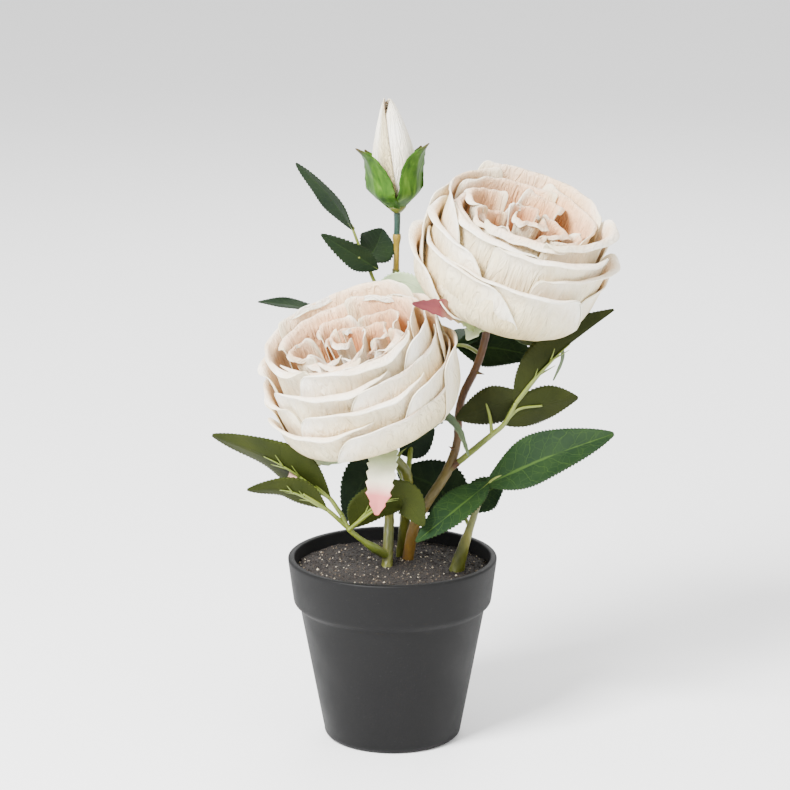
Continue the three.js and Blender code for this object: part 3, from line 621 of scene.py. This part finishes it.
def blade_surface(points, width, facing, fold, outline, teeth, tooth_depth):
    """A blade along its points: folded at its midrib, wavy, and toothed at its sides."""
    path = Path(points)
    rise = math.tan(math.radians(fold))
    facing = np.array(facing, float)

    def surface(s, t):
        u = np.clip(t, 0, 1)
        tangent = path.tangent(u)
        centre = path.at(u) + tangent * ((t - u) * path.length)[..., None]
        side = unit(np.cross(tangent, facing))
        up = unit(np.cross(side, tangent))
        half = width / 2 * outline(t)
        notch = tooth_depth * saw(t * teeth) * smooth(np.abs(s), 0.75, 1)
        reach = s * (half - notch * np.sin(np.pi * u) ** 0.4)
        lift = np.abs(s) * half * rise + np.sin(9 * t + 2 * s) * s * s * half / 14
        return centre + side * reach[..., None] + up * lift[..., None]

    return surface


def add_blade(shape, surface, across, rows, tone):
    def tint(s, t):
        return t, s * 0.5 + 0.5, np.full_like(s, tone)

    add_sheet(shape, surface, across, np.linspace(0, 1, rows + 1), LEAF_THICK, tint)


def add_leaf(blades, ribs, spec):
    length = Path(spec.points).length
    teeth = round(length / LEAF_TOOTH)
    surface = blade_surface(spec.points, spec.width, spec.facing, spec.fold, leaf_outline, teeth, 1.0)
    add_blade(blades, surface, 12, teeth * 4, spec.tone)
    if spec.rib:
        add_rib(ribs, surface, length)


def add_rib(ribs, surface, length):
    """The moulded rib under a leaf, with two pairs of barbs."""
    u = np.linspace(0.0, RIB_END, 9)
    still, step = np.zeros_like(u), np.full_like(u, 0.02)
    over_s = surface(step, u) - surface(-step, u)
    over_t = surface(still, u + 0.01) - surface(still, u - 0.01)
    under = -unit(np.cross(over_s, over_t))
    line = surface(still, u) + under * (RIB_RADIUS * 0.75)
    add_limb(ribs, line, [RIB_RADIUS * 1.2, RIB_RADIUS, RIB_RADIUS * 0.8, 0.25], 0.9, 8)
    for along, side in RIB_BARBS:
        k = along / RIB_END * 8
        root = np.array([np.interp(k, range(9), line[:, i]) for i in range(3)])
        way = unit(unit(over_s[4]) * side * 0.6 + unit(over_t[4]))
        tip = root + way * length * 0.13 + under[4] * 0.3
        radii = [RIB_RADIUS * 0.8, RIB_RADIUS * 0.5, 0.15]
        add_limb(ribs, [root, (root + tip) / 2, tip], radii, 0.9, 6)


def make_spray(name):
    stalks, leaves = SPRAYS[name]
    blades, ribs = Shape(), Shape()
    for number, (points, radii) in enumerate(stalks):
        add_limb(ribs, points, radii, 0.8, 10, 1.0, 0.04, number)
    for spec in leaves:
        add_leaf(blades, ribs, spec)
    blades.build(name + "_leaves", LEAF, "leaf", (name,))
    ribs.build(name + "_stalk", STALK, "stem")


def make_hip(name):
    seat = bloom_seat(BLOOMS[name]["base"], BLOOMS[name]["axis"])
    hip, sepals = Shape(), Shape()
    add_lathe(hip, HIP_PROFILE, 32, seat, 0.7)
    for spec in SEPALS[name]:
        points = [place_polar(*stop, seat) for stop in spec.path]
        teeth = round(Path(points).length / SEPAL_TOOTH)
        width = spec.width
        surface = blade_surface(points, width, spec.facing, 12, sepal_outline, teeth, 0.09 * width)
        add_blade(sepals, surface, 10, 90, spec.tint)
    hip.build(name + "_hip_cup", STALK, "husk", (name + "_hip",))
    sepals.build(name + "_sepals", SEPAL, "husk")


# ---- bud ----


def wrap_surface(wrap, curve, seat):
    """One petal that wraps round the bud, with its tip leant to a side."""
    turn, span, top, offset, lean = wrap

    def surface(s, t):
        at = curve(t * top * (1 - 0.16 * np.abs(s) ** 3))
        angle = math.radians(turn) + s * math.radians(span) * (1 - 0.15 * t)
        flare = 0.9 * smooth(s, 0.75, 1.0) * t
        radius = at[..., 0] * (0.94 + 0.06 * (s + 1) / 2) - 0.8 + 0.35 * offset + flare
        radius = np.maximum(radius, 0.5)
        height = at[..., 1] + (t - np.clip(t, 0, 1)) * 60
        x = radius * np.sin(angle) + lean * t**3
        return place(np.stack([x, -radius * np.cos(angle), height], -1), seat)

    return surface


def make_bud_petals(seat, length):
    curve = profile_curve(np.array(BUD_PROFILE) * np.array([BUD_RADIUS, length]))
    petals = Shape()

    def tint(s, t):
        # painted shade: the colour falls to tan near the side of each wrap that the next one laps over,
        # beside the fold
        edge = smooth(s, 0.45, 0.75)
        return 0.62 + 0.3 * t - 0.36 * edge, 0.1 + 0 * s, 0.5 + 0 * s

    for wrap in BUD_WRAPS:
        surface = wrap_surface(wrap, curve, seat)
        add_sheet(petals, surface, 40, np.linspace(0, 1, 41), PETAL_THICK, tint, BUD_CLOTH)
    petals.build("bud_petals", PETAL, "petal", ("bud",))


def make_bud_husk(seat):
    husk, sepals = Shape(), Shape()
    for degrees in BUD_SEPAL_TURNS:
        front = abs(degrees) < 90
        width = 25 if front else 20
        stops = BUD_SEPAL_START + (BUD_SEPAL_FRONT if front else BUD_SEPAL_BACK)
        points = [place_polar(degrees, radius, height, seat) for radius, height in stops]
        a = math.radians(degrees)
        facing = seat[0] @ np.array([math.sin(a), -math.cos(a), 0])
        surface = blade_surface(points, width, facing, -16, bud_sepal_outline, 7, 0.8)
        add_blade(sepals, surface, 12, 80, 0.0)
    add_lathe(husk, BUD_HUSK, 32, seat, 0.7)
    add_limb(husk, *BUD_TUBE, 0.0, 20)
    add_limb(husk, *BUD_PEG, 0.3, 20)
    husk.build("bud_husk_stem", STALK, "husk", ("bud_husk",))
    sepals.build("bud_sepals", BUD_GREEN, "husk")


def make_bud():
    axis = np.array(BUD_TIP, float) - np.array(BUD_BASE, float)
    seat = bloom_seat(BUD_BASE, axis)
    make_bud_petals(seat, float(np.linalg.norm(axis)))
    make_bud_husk(seat)


# ---- stems, pot and grit ----


def make_stems():
    for name, (points, radii) in STEMS.items():
        shape = Shape()
        points = [np.array(p, float) for p in points]
        foot = points[0] + unit(points[0] - points[1]) * STEM_ROOT_DEPTH
        woody = name == "stem_right_rose"
        add_limb(shape, [foot, *points], [radii[0], *radii], 0.5, 24, 0.8, 0.05, len(name))
        if woody:
            add_limb(shape, *BRANCH_STUB, 0.5, 18, 0.8, 0.03)
            for root, tip in THORNS:
                middle = (np.array(root, float) + np.array(tip, float)) / 2
                add_limb(shape, [root, middle, tip], [1.6, 0.9, 0.15], 0.5, 12, 0.5)
        look, slot = (WOOD, "woody_stem") if woody else (STALK, "stem")
        shape.build(name + "_skin", look, slot, (name,))


def arc(centre, radius, start, stop, steps=6):
    turns = np.radians(np.linspace(start, stop, steps))
    return [(centre[0] + radius * math.cos(a), centre[1] + radius * math.sin(a)) for a in turns]


def pot_profile():
    """The pot's outside from its foot up, over its rim, and down its inside."""
    rim_inner = RIM_RADIUS - RIM_WALL
    foot = FOOT_RADIUS - FOOT_ROUND
    band_radius, band_foot = BODY_TOP_RADIUS + BAND_STEP, BODY_TOP + BAND_STEP
    heights = np.linspace(FOOT_ROUND + 3, BODY_TOP - 1, 12)
    slope = (BODY_TOP_RADIUS - FOOT_RADIUS) / (BODY_TOP - FOOT_ROUND)
    return [
        (0, 0),
        (foot, 0),
        *arc((foot, FOOT_ROUND), FOOT_ROUND, -80, -10, 7),
        (FOOT_RADIUS + 0.1, FOOT_ROUND + 1),
        *((FOOT_RADIUS + (z - FOOT_ROUND) * slope, z) for z in heights),
        (BODY_TOP_RADIUS + 0.2, BODY_TOP), (BODY_TOP_RADIUS + 0.7, BODY_TOP + 0.7),
        (band_radius - 0.6, band_foot - 1.0), (band_radius, band_foot),
        (band_radius + 0.3, band_foot + 1.2), (RIM_RADIUS - 0.2, POT_HEIGHT - 3.5),
        (RIM_RADIUS, POT_HEIGHT - 1.6),
        *arc((RIM_RADIUS - 1.3, POT_HEIGHT - 1.3), 1.3, 0, 90),
        *arc((rim_inner + 1.0, POT_HEIGHT - 1.0), 1.0, 90, 180),
        (rim_inner - 2, POT_HEIGHT - BAND_HEIGHT), (BODY_TOP_RADIUS - POT_WALL, BODY_TOP - 4),
        (FOOT_RADIUS - POT_WALL, POT_FLOOR), (0, POT_FLOOR),
    ]


def make_pot():
    shape = Shape()
    add_lathe(shape, pot_profile(), POT_SIDES)
    shape.build("pot_body", POT, "pot", ("pot",), 40)


def grit_level(x, y):
    """The height of the grit's surface: a low crown with soft waves."""
    crown = GRIT_CROWN * (1 - (x * x + y * y) / GRIT_RADIUS**2)
    waves = 0.5 * np.sin(x / 7 + 1) * np.sin(y / 6)
    ripples = 0.25 * np.sin(x / 2.7) * np.sin(y / 2.3 + 2)
    return GRIT_LEVEL + crown + waves + ripples


GRAIN_CORNERS = [(1, 0, 0), (-1, 0, 0), (0, 1, 0), (0, -1, 0), (0, 0, 1), (0, 0, -1)]
GRAIN_FACES = [(0, 2, 4), (2, 1, 4), (1, 3, 4), (3, 0, 4), (2, 0, 5), (1, 2, 5), (3, 1, 5), (0, 3, 5)]


def make_bed(dice):
    bed = Shape()
    rings, sides = 60, 150
    low = GRIT_LEVEL - 6
    r = np.linspace(0.6, GRIT_RADIUS, rings)[:, None]
    turn = circle(sides)[None]
    x, y = r * np.cos(turn), r * np.sin(turn)
    z = grit_level(x, y) + dice.normal(0, 0.22, x.shape)
    top = np.stack([x, y, z], -1).reshape(-1, 3)
    skirt = np.stack([x[-1], y[-1], np.full(sides, low)], -1)
    points = np.vstack([top, skirt, [[0, 0, GRIT_LEVEL + GRIT_CROWN], [0, 0, low]]])
    hub = (rings + 1) * sides
    faces = [face[::-1] for face in tube_faces(rings + 1, sides)]
    faces += cap_faces(0, sides, hub)
    faces += cap_faces(rings * sides, sides, hub + 1, True)
    bed.add(points, faces, np.tile([0.3, 0.5, 0.5, 1.0], (len(points), 1)))
    bed.build("grit_bed", GRIT, "grit", ("grit",))


def make_grains(dice):
    """Loose grains: eight-sided crumbs of many sizes, strewn evenly over the bed."""
    grains = Shape()
    from_middle = GRIT_RADIUS * np.sqrt(dice.random(GRAIN_COUNT)) * 0.99
    bearing = dice.uniform(0, 2 * np.pi, GRAIN_COUNT)
    x, y = from_middle * np.cos(bearing), from_middle * np.sin(bearing)
    size = dice.lognormal(-0.55, 0.3, GRAIN_COUNT)
    turn = dice.uniform(0, 2 * np.pi, GRAIN_COUNT)
    stretch = dice.uniform(0.7, 1.3, (GRAIN_COUNT, 6, 3))
    local = np.array(GRAIN_CORNERS, float)[None] * stretch * size[:, None, None]
    c, s = np.cos(turn)[:, None], np.sin(turn)[:, None]
    px = local[..., 0] * c - local[..., 1] * s + x[:, None]
    py = local[..., 0] * s + local[..., 1] * c + y[:, None]
    pz = local[..., 2] * 0.8 + (grit_level(x, y) + 0.1)[:, None]
    first = (np.arange(GRAIN_COUNT) * 6)[:, None, None]
    faces = (np.array(GRAIN_FACES)[None] + first).reshape(-1, 3)
    shade = np.repeat(dice.random(GRAIN_COUNT), 6)
    hue = np.repeat(dice.random(GRAIN_COUNT), 6)
    tint = np.stack([shade, hue, hue, np.ones_like(hue)], -1)
    grains.add(np.stack([px, py, pz], -1), faces, tint)
    grains.build("grit_grains", GRAINS, "grit")


def make_grit():
    dice = np.random.default_rng(SEED)
    make_bed(dice)
    make_grains(dice)


# ---- materials ----

WHITE = (1.0, 1.0, 1.0)
# olive-tan painted shade for a petal's sides, where its neighbours overlap it
OVERLAP_SHADE_TAN = (0.72, 0.62, 0.36)


class Look:
    """A node material with a Principled shader and short ways to add nodes."""

    def __init__(self, name, roughness, specular=None):
        self.material = bpy.data.materials.new(name)
        self.material.use_nodes = True
        self.tree = self.material.node_tree
        self.shader = self.tree.nodes["Principled BSDF"]
        self.shader.inputs["Roughness"].default_value = roughness
        self.shader.inputs["Metallic"].default_value = 0.0
        if specular is not None:
            self.shader.inputs["Specular IOR Level"].default_value = specular
        self.place_of = self.node("TexCoord").outputs["Object"]

    def node(self, kind, inputs=None, **settings):
        """A node with its settings, and with its sockets fed by their names or numbers."""
        made = self.tree.nodes.new("ShaderNode" + kind)
        for key, value in settings.items():
            setattr(made, key, value)
        for key, item in (inputs or {}).items():
            self.feed(made.inputs[key], item)
        return made

    def feed(self, socket, item):
        """Give a socket its plain number or colour, or link it to an output."""
        if isinstance(item, (int, float, tuple)):
            socket.default_value = item
        else:
            self.tree.links.new(item, socket)

    def attribute(self, name, output):
        return self.node("Attribute", attribute_name=name).outputs[output]

    def tint(self):
        data = self.node("Attribute", attribute_name="tint")
        parts = self.node("SeparateColor", {"Color": data.outputs["Color"]})
        return *parts.outputs, data.outputs["Alpha"]

    def cloth_side(self):
        """How far a point of the flat cloth lies from its middle line, in metres."""
        parts = self.node("SeparateXYZ", {0: self.attribute("cloth", "Vector")})
        return self.maths("ABSOLUTE", parts.outputs["X"])

    def noise(self, scale, detail=4.0, distortion=0.0, stretch=None, source=None):
        vector = self.place_of if source is None else source
        if stretch:
            mapping = self.node("Mapping", {"Vector": vector, "Scale": stretch})
            vector = mapping.outputs["Vector"]
        settings = {"Scale": scale, "Detail": detail, "Distortion": distortion, "Vector": vector}
        return self.node("TexNoise", settings).outputs["Fac"]

    def cloth_noise(self, scale, stretch, detail, distortion):
        """Noise laid out on the flat cloth, so that its streaks run along the petal."""
        flat = self.attribute("cloth", "Vector")
        return self.noise(scale, detail, distortion, (1.0, stretch, 1.0), flat)

    def ramp(self, source, *stops):
        """A colour ramp.  A stop is its position and its colour in one tuple."""
        made = self.node("ValToRGB", {"Fac": source})
        elements = made.color_ramp.elements
        while len(elements) < len(stops):
            elements.new(0.5)
        for element, (position, *colour) in zip(elements, stops):
            element.position = position
            element.color = (*colour, 1.0)
        return made.outputs["Color"]

    def value(self, source, low, high, out_low=0.0, out_high=1.0):
        reach = {"From Min": low, "From Max": high, "To Min": out_low, "To Max": out_high}
        return self.node("MapRange", {"Value": source, **reach}).outputs["Result"]

    def maths(self, kind, *items):
        return self.node("Math", dict(enumerate(items)), operation=kind).outputs[0]

    def mix(self, amount, a, b, blend="MIX"):
        a, b = ((*item, 1.0) if isinstance(item, tuple) else item for item in (a, b))
        sockets = {0: amount, 6: a, 7: b}
        return self.node("Mix", sockets, data_type="RGBA", blend_type=blend).outputs[2]

    def colour(self, source):
        self.feed(self.shader.inputs["Base Color"], source)

    def bump(self, source, strength, distance):
        sockets = {"Strength": strength, "Distance": distance, "Height": source}
        made = self.node("Bump", sockets)
        self.feed(self.shader.inputs["Normal"], made.outputs["Normal"])


def petal_inside(look, along, shade_depth):
    """The upper side: cream above, with painted shade low down in peach, most of all deep in the heart."""
    outer_ring = look.ramp(
        along, (0.0, 0.55, 0.2, 0.05), (0.35, 0.82, 0.42, 0.18), (0.62, 0.93, 0.68, 0.45),
        (0.86, 0.97, 0.89, 0.77), (1.0, 0.96, 0.94, 0.82),
    )
    heart = look.ramp(
        along, (0.0, 0.52, 0.14, 0.03), (0.5, 0.82, 0.34, 0.12), (0.72, 0.93, 0.6, 0.37),
        (0.86, 0.97, 0.86, 0.72), (1.0, 0.97, 0.93, 0.83),
    )
    return look.mix(shade_depth, outer_ring, heart)


def petal_outside(look, along):
    """The under side: olive at the root and tan above it, painted shade low on the bloom, then cream, and a
    greenish edge.
    """
    return look.ramp(
        along, (0.0, 0.3, 0.24, 0.07), (0.28, 0.52, 0.43, 0.2), (0.5, 0.78, 0.69, 0.46),
        (0.7, 0.93, 0.88, 0.75), (0.82, 0.97, 0.95, 0.87), (0.92, 0.97, 0.96, 0.88),
        (1.0, 0.92, 0.92, 0.7),
    )


def petal_look():
    look = Look("petal_cloth", 0.75, 0.22)
    along, shade_depth, _, outer = look.tint()
    outside = petal_outside(look, along)
    body = look.mix(look.value(outer, 0.4, 0.6), petal_inside(look, along, shade_depth), outside)
    stain = look.ramp(look.noise(38, 4, 0.5), (0.36, 0.92, 0.85, 0.72), (0.62, *WHITE))
    body = look.mix(0.8, body, stain, "MULTIPLY")
    # painted shade: olive-tan towards each petal's sides, where petals overlap
    body = look.mix(look.value(look.cloth_side(), 0.024, 0.035, 0.0, 0.55), body, OVERLAP_SHADE_TAN)
    streak = look.cloth_noise(420, 0.22, 4, 0.8)
    shade = look.ramp(streak, (0.3, 0.94, 0.9, 0.83), (0.6, *WHITE))
    look.colour(look.mix(0.7, body, shade, "MULTIPLY"))
    crinkle = look.cloth_noise(330, 0.3, 3, 1.6)
    veins = look.cloth_noise(150, 0.1, 2, 0.3)
    weave = look.noise(2600, 2)
    height = look.maths("MULTIPLY", crinkle, look.value(along, 0.35, 0.9, 1.0, 0.18))
    height = look.maths("MULTIPLY_ADD", veins, 0.35, height)
    look.bump(look.maths("MULTIPLY_ADD", weave, 0.04, height), 1.0, 0.0045)
    look.shader.inputs["Sheen Weight"].default_value = 0.1
    return look


def leaf_lines(look, along, across):
    """A leaf's midrib, its slanting side veins and the fine net between them."""
    off = look.maths("ABSOLUTE", look.maths("MULTIPLY_ADD", across, 2.0, -1.0))
    wobble = look.maths("MULTIPLY_ADD", look.noise(90, 3), 0.16, -0.08)
    midrib = look.value(look.maths("ADD", off, wobble), 0.025, 0.06, 1.0, 0.0)
    slant = look.maths("MULTIPLY_ADD", off, -0.16, along)
    slant = look.maths("ADD", slant, look.maths("MULTIPLY", wobble, 0.9))
    right = look.maths("GREATER_THAN", across, 0.5)
    slant = look.maths("MULTIPLY_ADD", right, 0.045, slant)
    phase = look.maths("FRACT", look.maths("MULTIPLY", slant, 8.0))
    near = look.maths("ABSOLUTE", look.maths("SUBTRACT", phase, 0.5))
    vein = look.maths("MULTIPLY", look.value(near, 0.01, 0.03, 1.0, 0.0), 0.6)
    sockets = {"Scale": 170, "Vector": look.place_of}
    cells = look.node("TexVoronoi", sockets, feature="DISTANCE_TO_EDGE")
    net = look.value(cells.outputs["Distance"], 0.0, 0.045, 0.28, 0.0)
    return look.maths("MAXIMUM", midrib, look.maths("MAXIMUM", vein, net))


def leaf_look():
    look = Look("leaf_cloth", 0.66, 0.1)
    along, across, tone, upper = look.tint()
    lines = leaf_lines(look, along, across)
    patch = look.noise(55, 4)

    def mottled(low, high):
        return look.ramp(patch, (0.25, *low), (0.75, *high))

    fresh = mottled((0.004, 0.021, 0.005), (0.012, 0.04, 0.004))
    dark = mottled((0.0035, 0.009, 0.0045), (0.009, 0.018, 0.0065))
    vein_colour = look.mix(tone, (0.06, 0.12, 0.016), (0.01, 0.022, 0.007))
    veined = look.maths("MULTIPLY", lines, 0.85)
    top = look.mix(veined, look.mix(tone, fresh, dark), vein_colour)
    olive = mottled((0.018, 0.026, 0.002), (0.034, 0.043, 0.004))
    grey = mottled((0.006, 0.0075, 0.0015), (0.013, 0.015, 0.003))
    mint = mottled((0.36, 0.5, 0.28), (0.52, 0.64, 0.4))
    under = look.mix(look.value(tone, 0.0, 0.2), mint, look.mix(tone, olive, grey))
    look.colour(look.mix(look.value(upper, 0.4, 0.6), under, top))
    grain = look.maths("MULTIPLY", look.noise(700, 3), 0.25)
    look.bump(look.maths("MULTIPLY_ADD", lines, -0.8, grain), 0.5, 0.0005)
    return look


def stalk_look():
    """Green plastic.  Tone 0 is the bud's tube, 0.3 its peg, 0.5 a stem, 0.9 a leaf's rib."""
    look = Look("stalk_plastic", 0.42)
    _, tone, _, _ = look.tint()
    patch = look.noise(120, 4, 0.5, (1.0, 1.0, 0.35))
    green = look.ramp(
        patch, (0.25, 0.045, 0.055, 0.005), (0.55, 0.09, 0.095, 0.007), (0.8, 0.17, 0.15, 0.011),
    )
    light = look.ramp(patch, (0.25, 0.085, 0.12, 0.014), (0.75, 0.17, 0.21, 0.03))
    sleeve = look.mix(look.value(tone, 0.0, 0.25), (0.01, 0.04, 0.028), (0.22, 0.15, 0.014))
    body = look.mix(look.value(tone, 0.3, 0.5), sleeve, green)
    look.colour(look.mix(look.value(tone, 0.5, 0.9), body, light))
    look.bump(look.noise(420, 4, 0.0, (1.0, 1.0, 0.3)), 0.35, 0.0004)
    return look


def wood_look():
    """The right rose's stem: brown at its foot, olive, then reddish brown at the top."""
    look = Look("woody_stem_plastic", 0.5)
    along, _, _, _ = look.tint()
    patch = look.noise(150, 5, 0.6, (1.0, 1.0, 0.35))
    low = look.ramp(patch, (0.3, 0.075, 0.036, 0.004), (0.7, 0.16, 0.088, 0.008))
    mid = look.ramp(patch, (0.3, 0.055, 0.038, 0.004), (0.7, 0.11, 0.08, 0.008))
    high = look.ramp(patch, (0.3, 0.04, 0.013, 0.0025), (0.7, 0.085, 0.033, 0.005))
    body = look.mix(look.value(along, 0.15, 0.3), low, mid)
    look.colour(look.mix(look.value(along, 0.38, 0.55), body, high))
    look.bump(look.noise(500, 5), 0.5, 0.0006)
    return look


def sepal_look():
    look = Look("sepal_cloth", 0.7)
    along, _, blush, _ = look.tint()
    dark = look.ramp(along, (0.0, 0.05, 0.09, 0.03), (0.6, 0.04, 0.065, 0.03), (1.0, 0.09, 0.13, 0.05))
    plain = look.ramp(along, (0.0, 0.2, 0.3, 0.12), (0.5, 0.5, 0.62, 0.4), (1.0, 0.62, 0.68, 0.46))
    pink = look.ramp(
        along, (0.0, 0.22, 0.33, 0.13), (0.4, 0.6, 0.72, 0.5), (0.64, 0.78, 0.72, 0.54),
        (0.8, 0.6, 0.16, 0.15), (1.0, 0.5, 0.14, 0.12),
    )
    crimson = look.ramp(
        along, (0.0, 0.2, 0.3, 0.1), (0.45, 0.38, 0.46, 0.2), (0.62, 0.48, 0.3, 0.17),
        (0.76, 0.22, 0.035, 0.045), (1.0, 0.12, 0.01, 0.02),
    )
    body = dark
    for low, high, tint in ((0.0, 0.4, plain), (0.4, 0.8, pink), (0.85, 1.0, crimson)):
        body = look.mix(look.value(blush, low, high), body, tint)
    streak = look.noise(260, 3, 0.4, (1.0, 1.0, 0.4))
    shade = look.ramp(streak, (0.3, 0.7, 0.7, 0.7), (0.7, *WHITE))
    look.colour(look.mix(0.35, body, shade, "MULTIPLY"))
    look.bump(streak, 0.4, 0.0005)
    return look


def bud_green_look():
    look = Look("bud_green_cloth", 0.5, 0.15)
    along, _, _, _ = look.tint()
    streak = look.noise(240, 4, 0.6, (1.0, 1.0, 0.25))
    body = look.ramp(
        streak, (0.3, 0.012, 0.045, 0.003), (0.55, 0.035, 0.1, 0.006), (0.75, 0.085, 0.18, 0.018),
    )
    look.colour(look.mix(look.value(along, 0.86, 1.0), body, (0.07, 0.045, 0.015)))
    look.bump(streak, 0.5, 0.0006)
    return look


def pot_look():
    """Charcoal plastic with a fine grain, soft clouds and pale scuffs."""
    look = Look("pot_plastic", 0.62, 0.16)
    cloud = look.noise(26, 6)
    body = look.ramp(cloud, (0.3, 0.0028, 0.0028, 0.003), (0.7, 0.0055, 0.0055, 0.0057))
    scuff = look.ramp(look.noise(900, 6), (0.66, 0.0, 0.0, 0.0), (0.76, *WHITE))
    look.colour(look.mix(look.maths("MULTIPLY", scuff, 0.2), body, (0.06, 0.06, 0.06)))
    look.feed(look.shader.inputs["Roughness"], look.value(cloud, 0.3, 0.7, 0.5, 0.68))
    grain = look.maths("ADD", look.noise(1500, 3), look.maths("MULTIPLY", cloud, 1.5))
    look.bump(grain, 0.28, 0.0003)
    return look


def grit_look():
    look = Look("grit_bed_fill", 0.95)
    grain = look.noise(1500, 4)
    body = look.ramp(
        grain, (0.35, 0.003, 0.002, 0.0015), (0.6, 0.012, 0.008, 0.005), (0.75, 0.04, 0.028, 0.018),
    )
    look.colour(body)
    look.bump(grain, 0.8, 0.0008)
    return look


def grains_look():
    """Mostly dark crumbs, with a few that are nearly white."""
    look = Look("grit_grains_mix", 0.85)
    shade, hue, _, _ = look.tint()
    common = look.ramp(
        shade, (0.0, 0.003, 0.002, 0.0015), (0.6, 0.009, 0.006, 0.004), (0.82, 0.025, 0.017, 0.01),
        (0.93, 0.11, 0.08, 0.05), (0.985, 0.5, 0.44, 0.34),
    )
    look.colour(look.mix(look.maths("MULTIPLY", hue, 0.4), common, (0.022, 0.015, 0.014)))
    look.bump(look.noise(3000, 2), 0.4, 0.0003)
    return look


def floor_look():
    look = Look("studio_floor", 0.9)
    look.colour(look.ramp(look.noise(4, 2), (0.0, 0.9, 0.9, 0.9), (1.0, 0.92, 0.92, 0.92)))
    return look


# ---- studio ----

# the camera's place, its angle below level in degrees, and its lens in millimetres
CAMERA_PLACE = (0.0015, -1.8, 0.658)
CAMERA_PITCH = 14.0
CAMERA_LENS = 143.8
FLOOR_REACH = 6.0
SKY_STRENGTH = 1.45
LAMP_AIM = (0.0, 0.0, 0.2)
# a lamp's name, place, size and power
LAMPS = (
    ("key", (-0.9, -1.1, 1.5), 0.7, 150.0),
    ("fill", (1.2, -0.9, 0.8), 1.0, 8.0),
    ("back", (0.2, 1.4, 1.4), 1.0, 24.0),
)


def make_camera():
    data = bpy.data.cameras.new("camera")
    data.sensor_width = 36.0
    data.lens = CAMERA_LENS
    data.clip_start, data.clip_end = 0.05, 50.0
    camera = link_object("camera", data)
    camera.location = CAMERA_PLACE
    camera.rotation_euler = (math.radians(90 - CAMERA_PITCH), 0, 0)
    bpy.context.scene.camera = camera


def make_floor():
    mesh = bpy.data.meshes.new("floor")
    signs = ((-1, -1), (1, -1), (1, 1), (-1, 1))
    corners = [(x * FLOOR_REACH, y * FLOOR_REACH, 0) for x, y in signs]
    mesh.from_pydata(corners, [], [(0, 1, 2, 3)])
    mesh.materials.append(FLOOR.material)
    link_object("floor", mesh)


def make_sky():
    world = bpy.data.worlds.new("studio")
    bpy.context.scene.world = world
    world.use_nodes = True
    sky = world.node_tree.nodes["Background"]
    sky.inputs["Color"].default_value = (1.0, 1.0, 1.0, 1.0)
    sky.inputs["Strength"].default_value = SKY_STRENGTH


def make_lamps():
    for name, spot, size, power in LAMPS:
        data = bpy.data.lights.new(name, "AREA")
        data.size = size
        data.energy = power
        lamp = link_object(name, data)
        lamp.location = spot
        aim = np.array(LAMP_AIM) - np.array(spot)
        yaw = math.atan2(aim[0], -aim[1])
        tilt = math.atan2(math.hypot(aim[0], aim[1]), -aim[2])
        lamp.rotation_euler = (tilt, 0, math.pi + yaw)


# ---- the whole plant ----

PETAL = petal_look()
LEAF = leaf_look()
STALK = stalk_look()
WOOD = wood_look()
SEPAL = sepal_look()
BUD_GREEN = bud_green_look()
POT = pot_look()
GRIT = grit_look()
GRAINS = grains_look()
FLOOR = floor_look()

make_camera()
make_floor()
make_sky()
make_lamps()
make_pot()
make_grit()
make_stems()
for bloom_name in BLOOMS:
    make_bloom(bloom_name)
    make_hip(bloom_name)
make_bud()
for spray_name in SPRAYS:
    make_spray(spray_name)
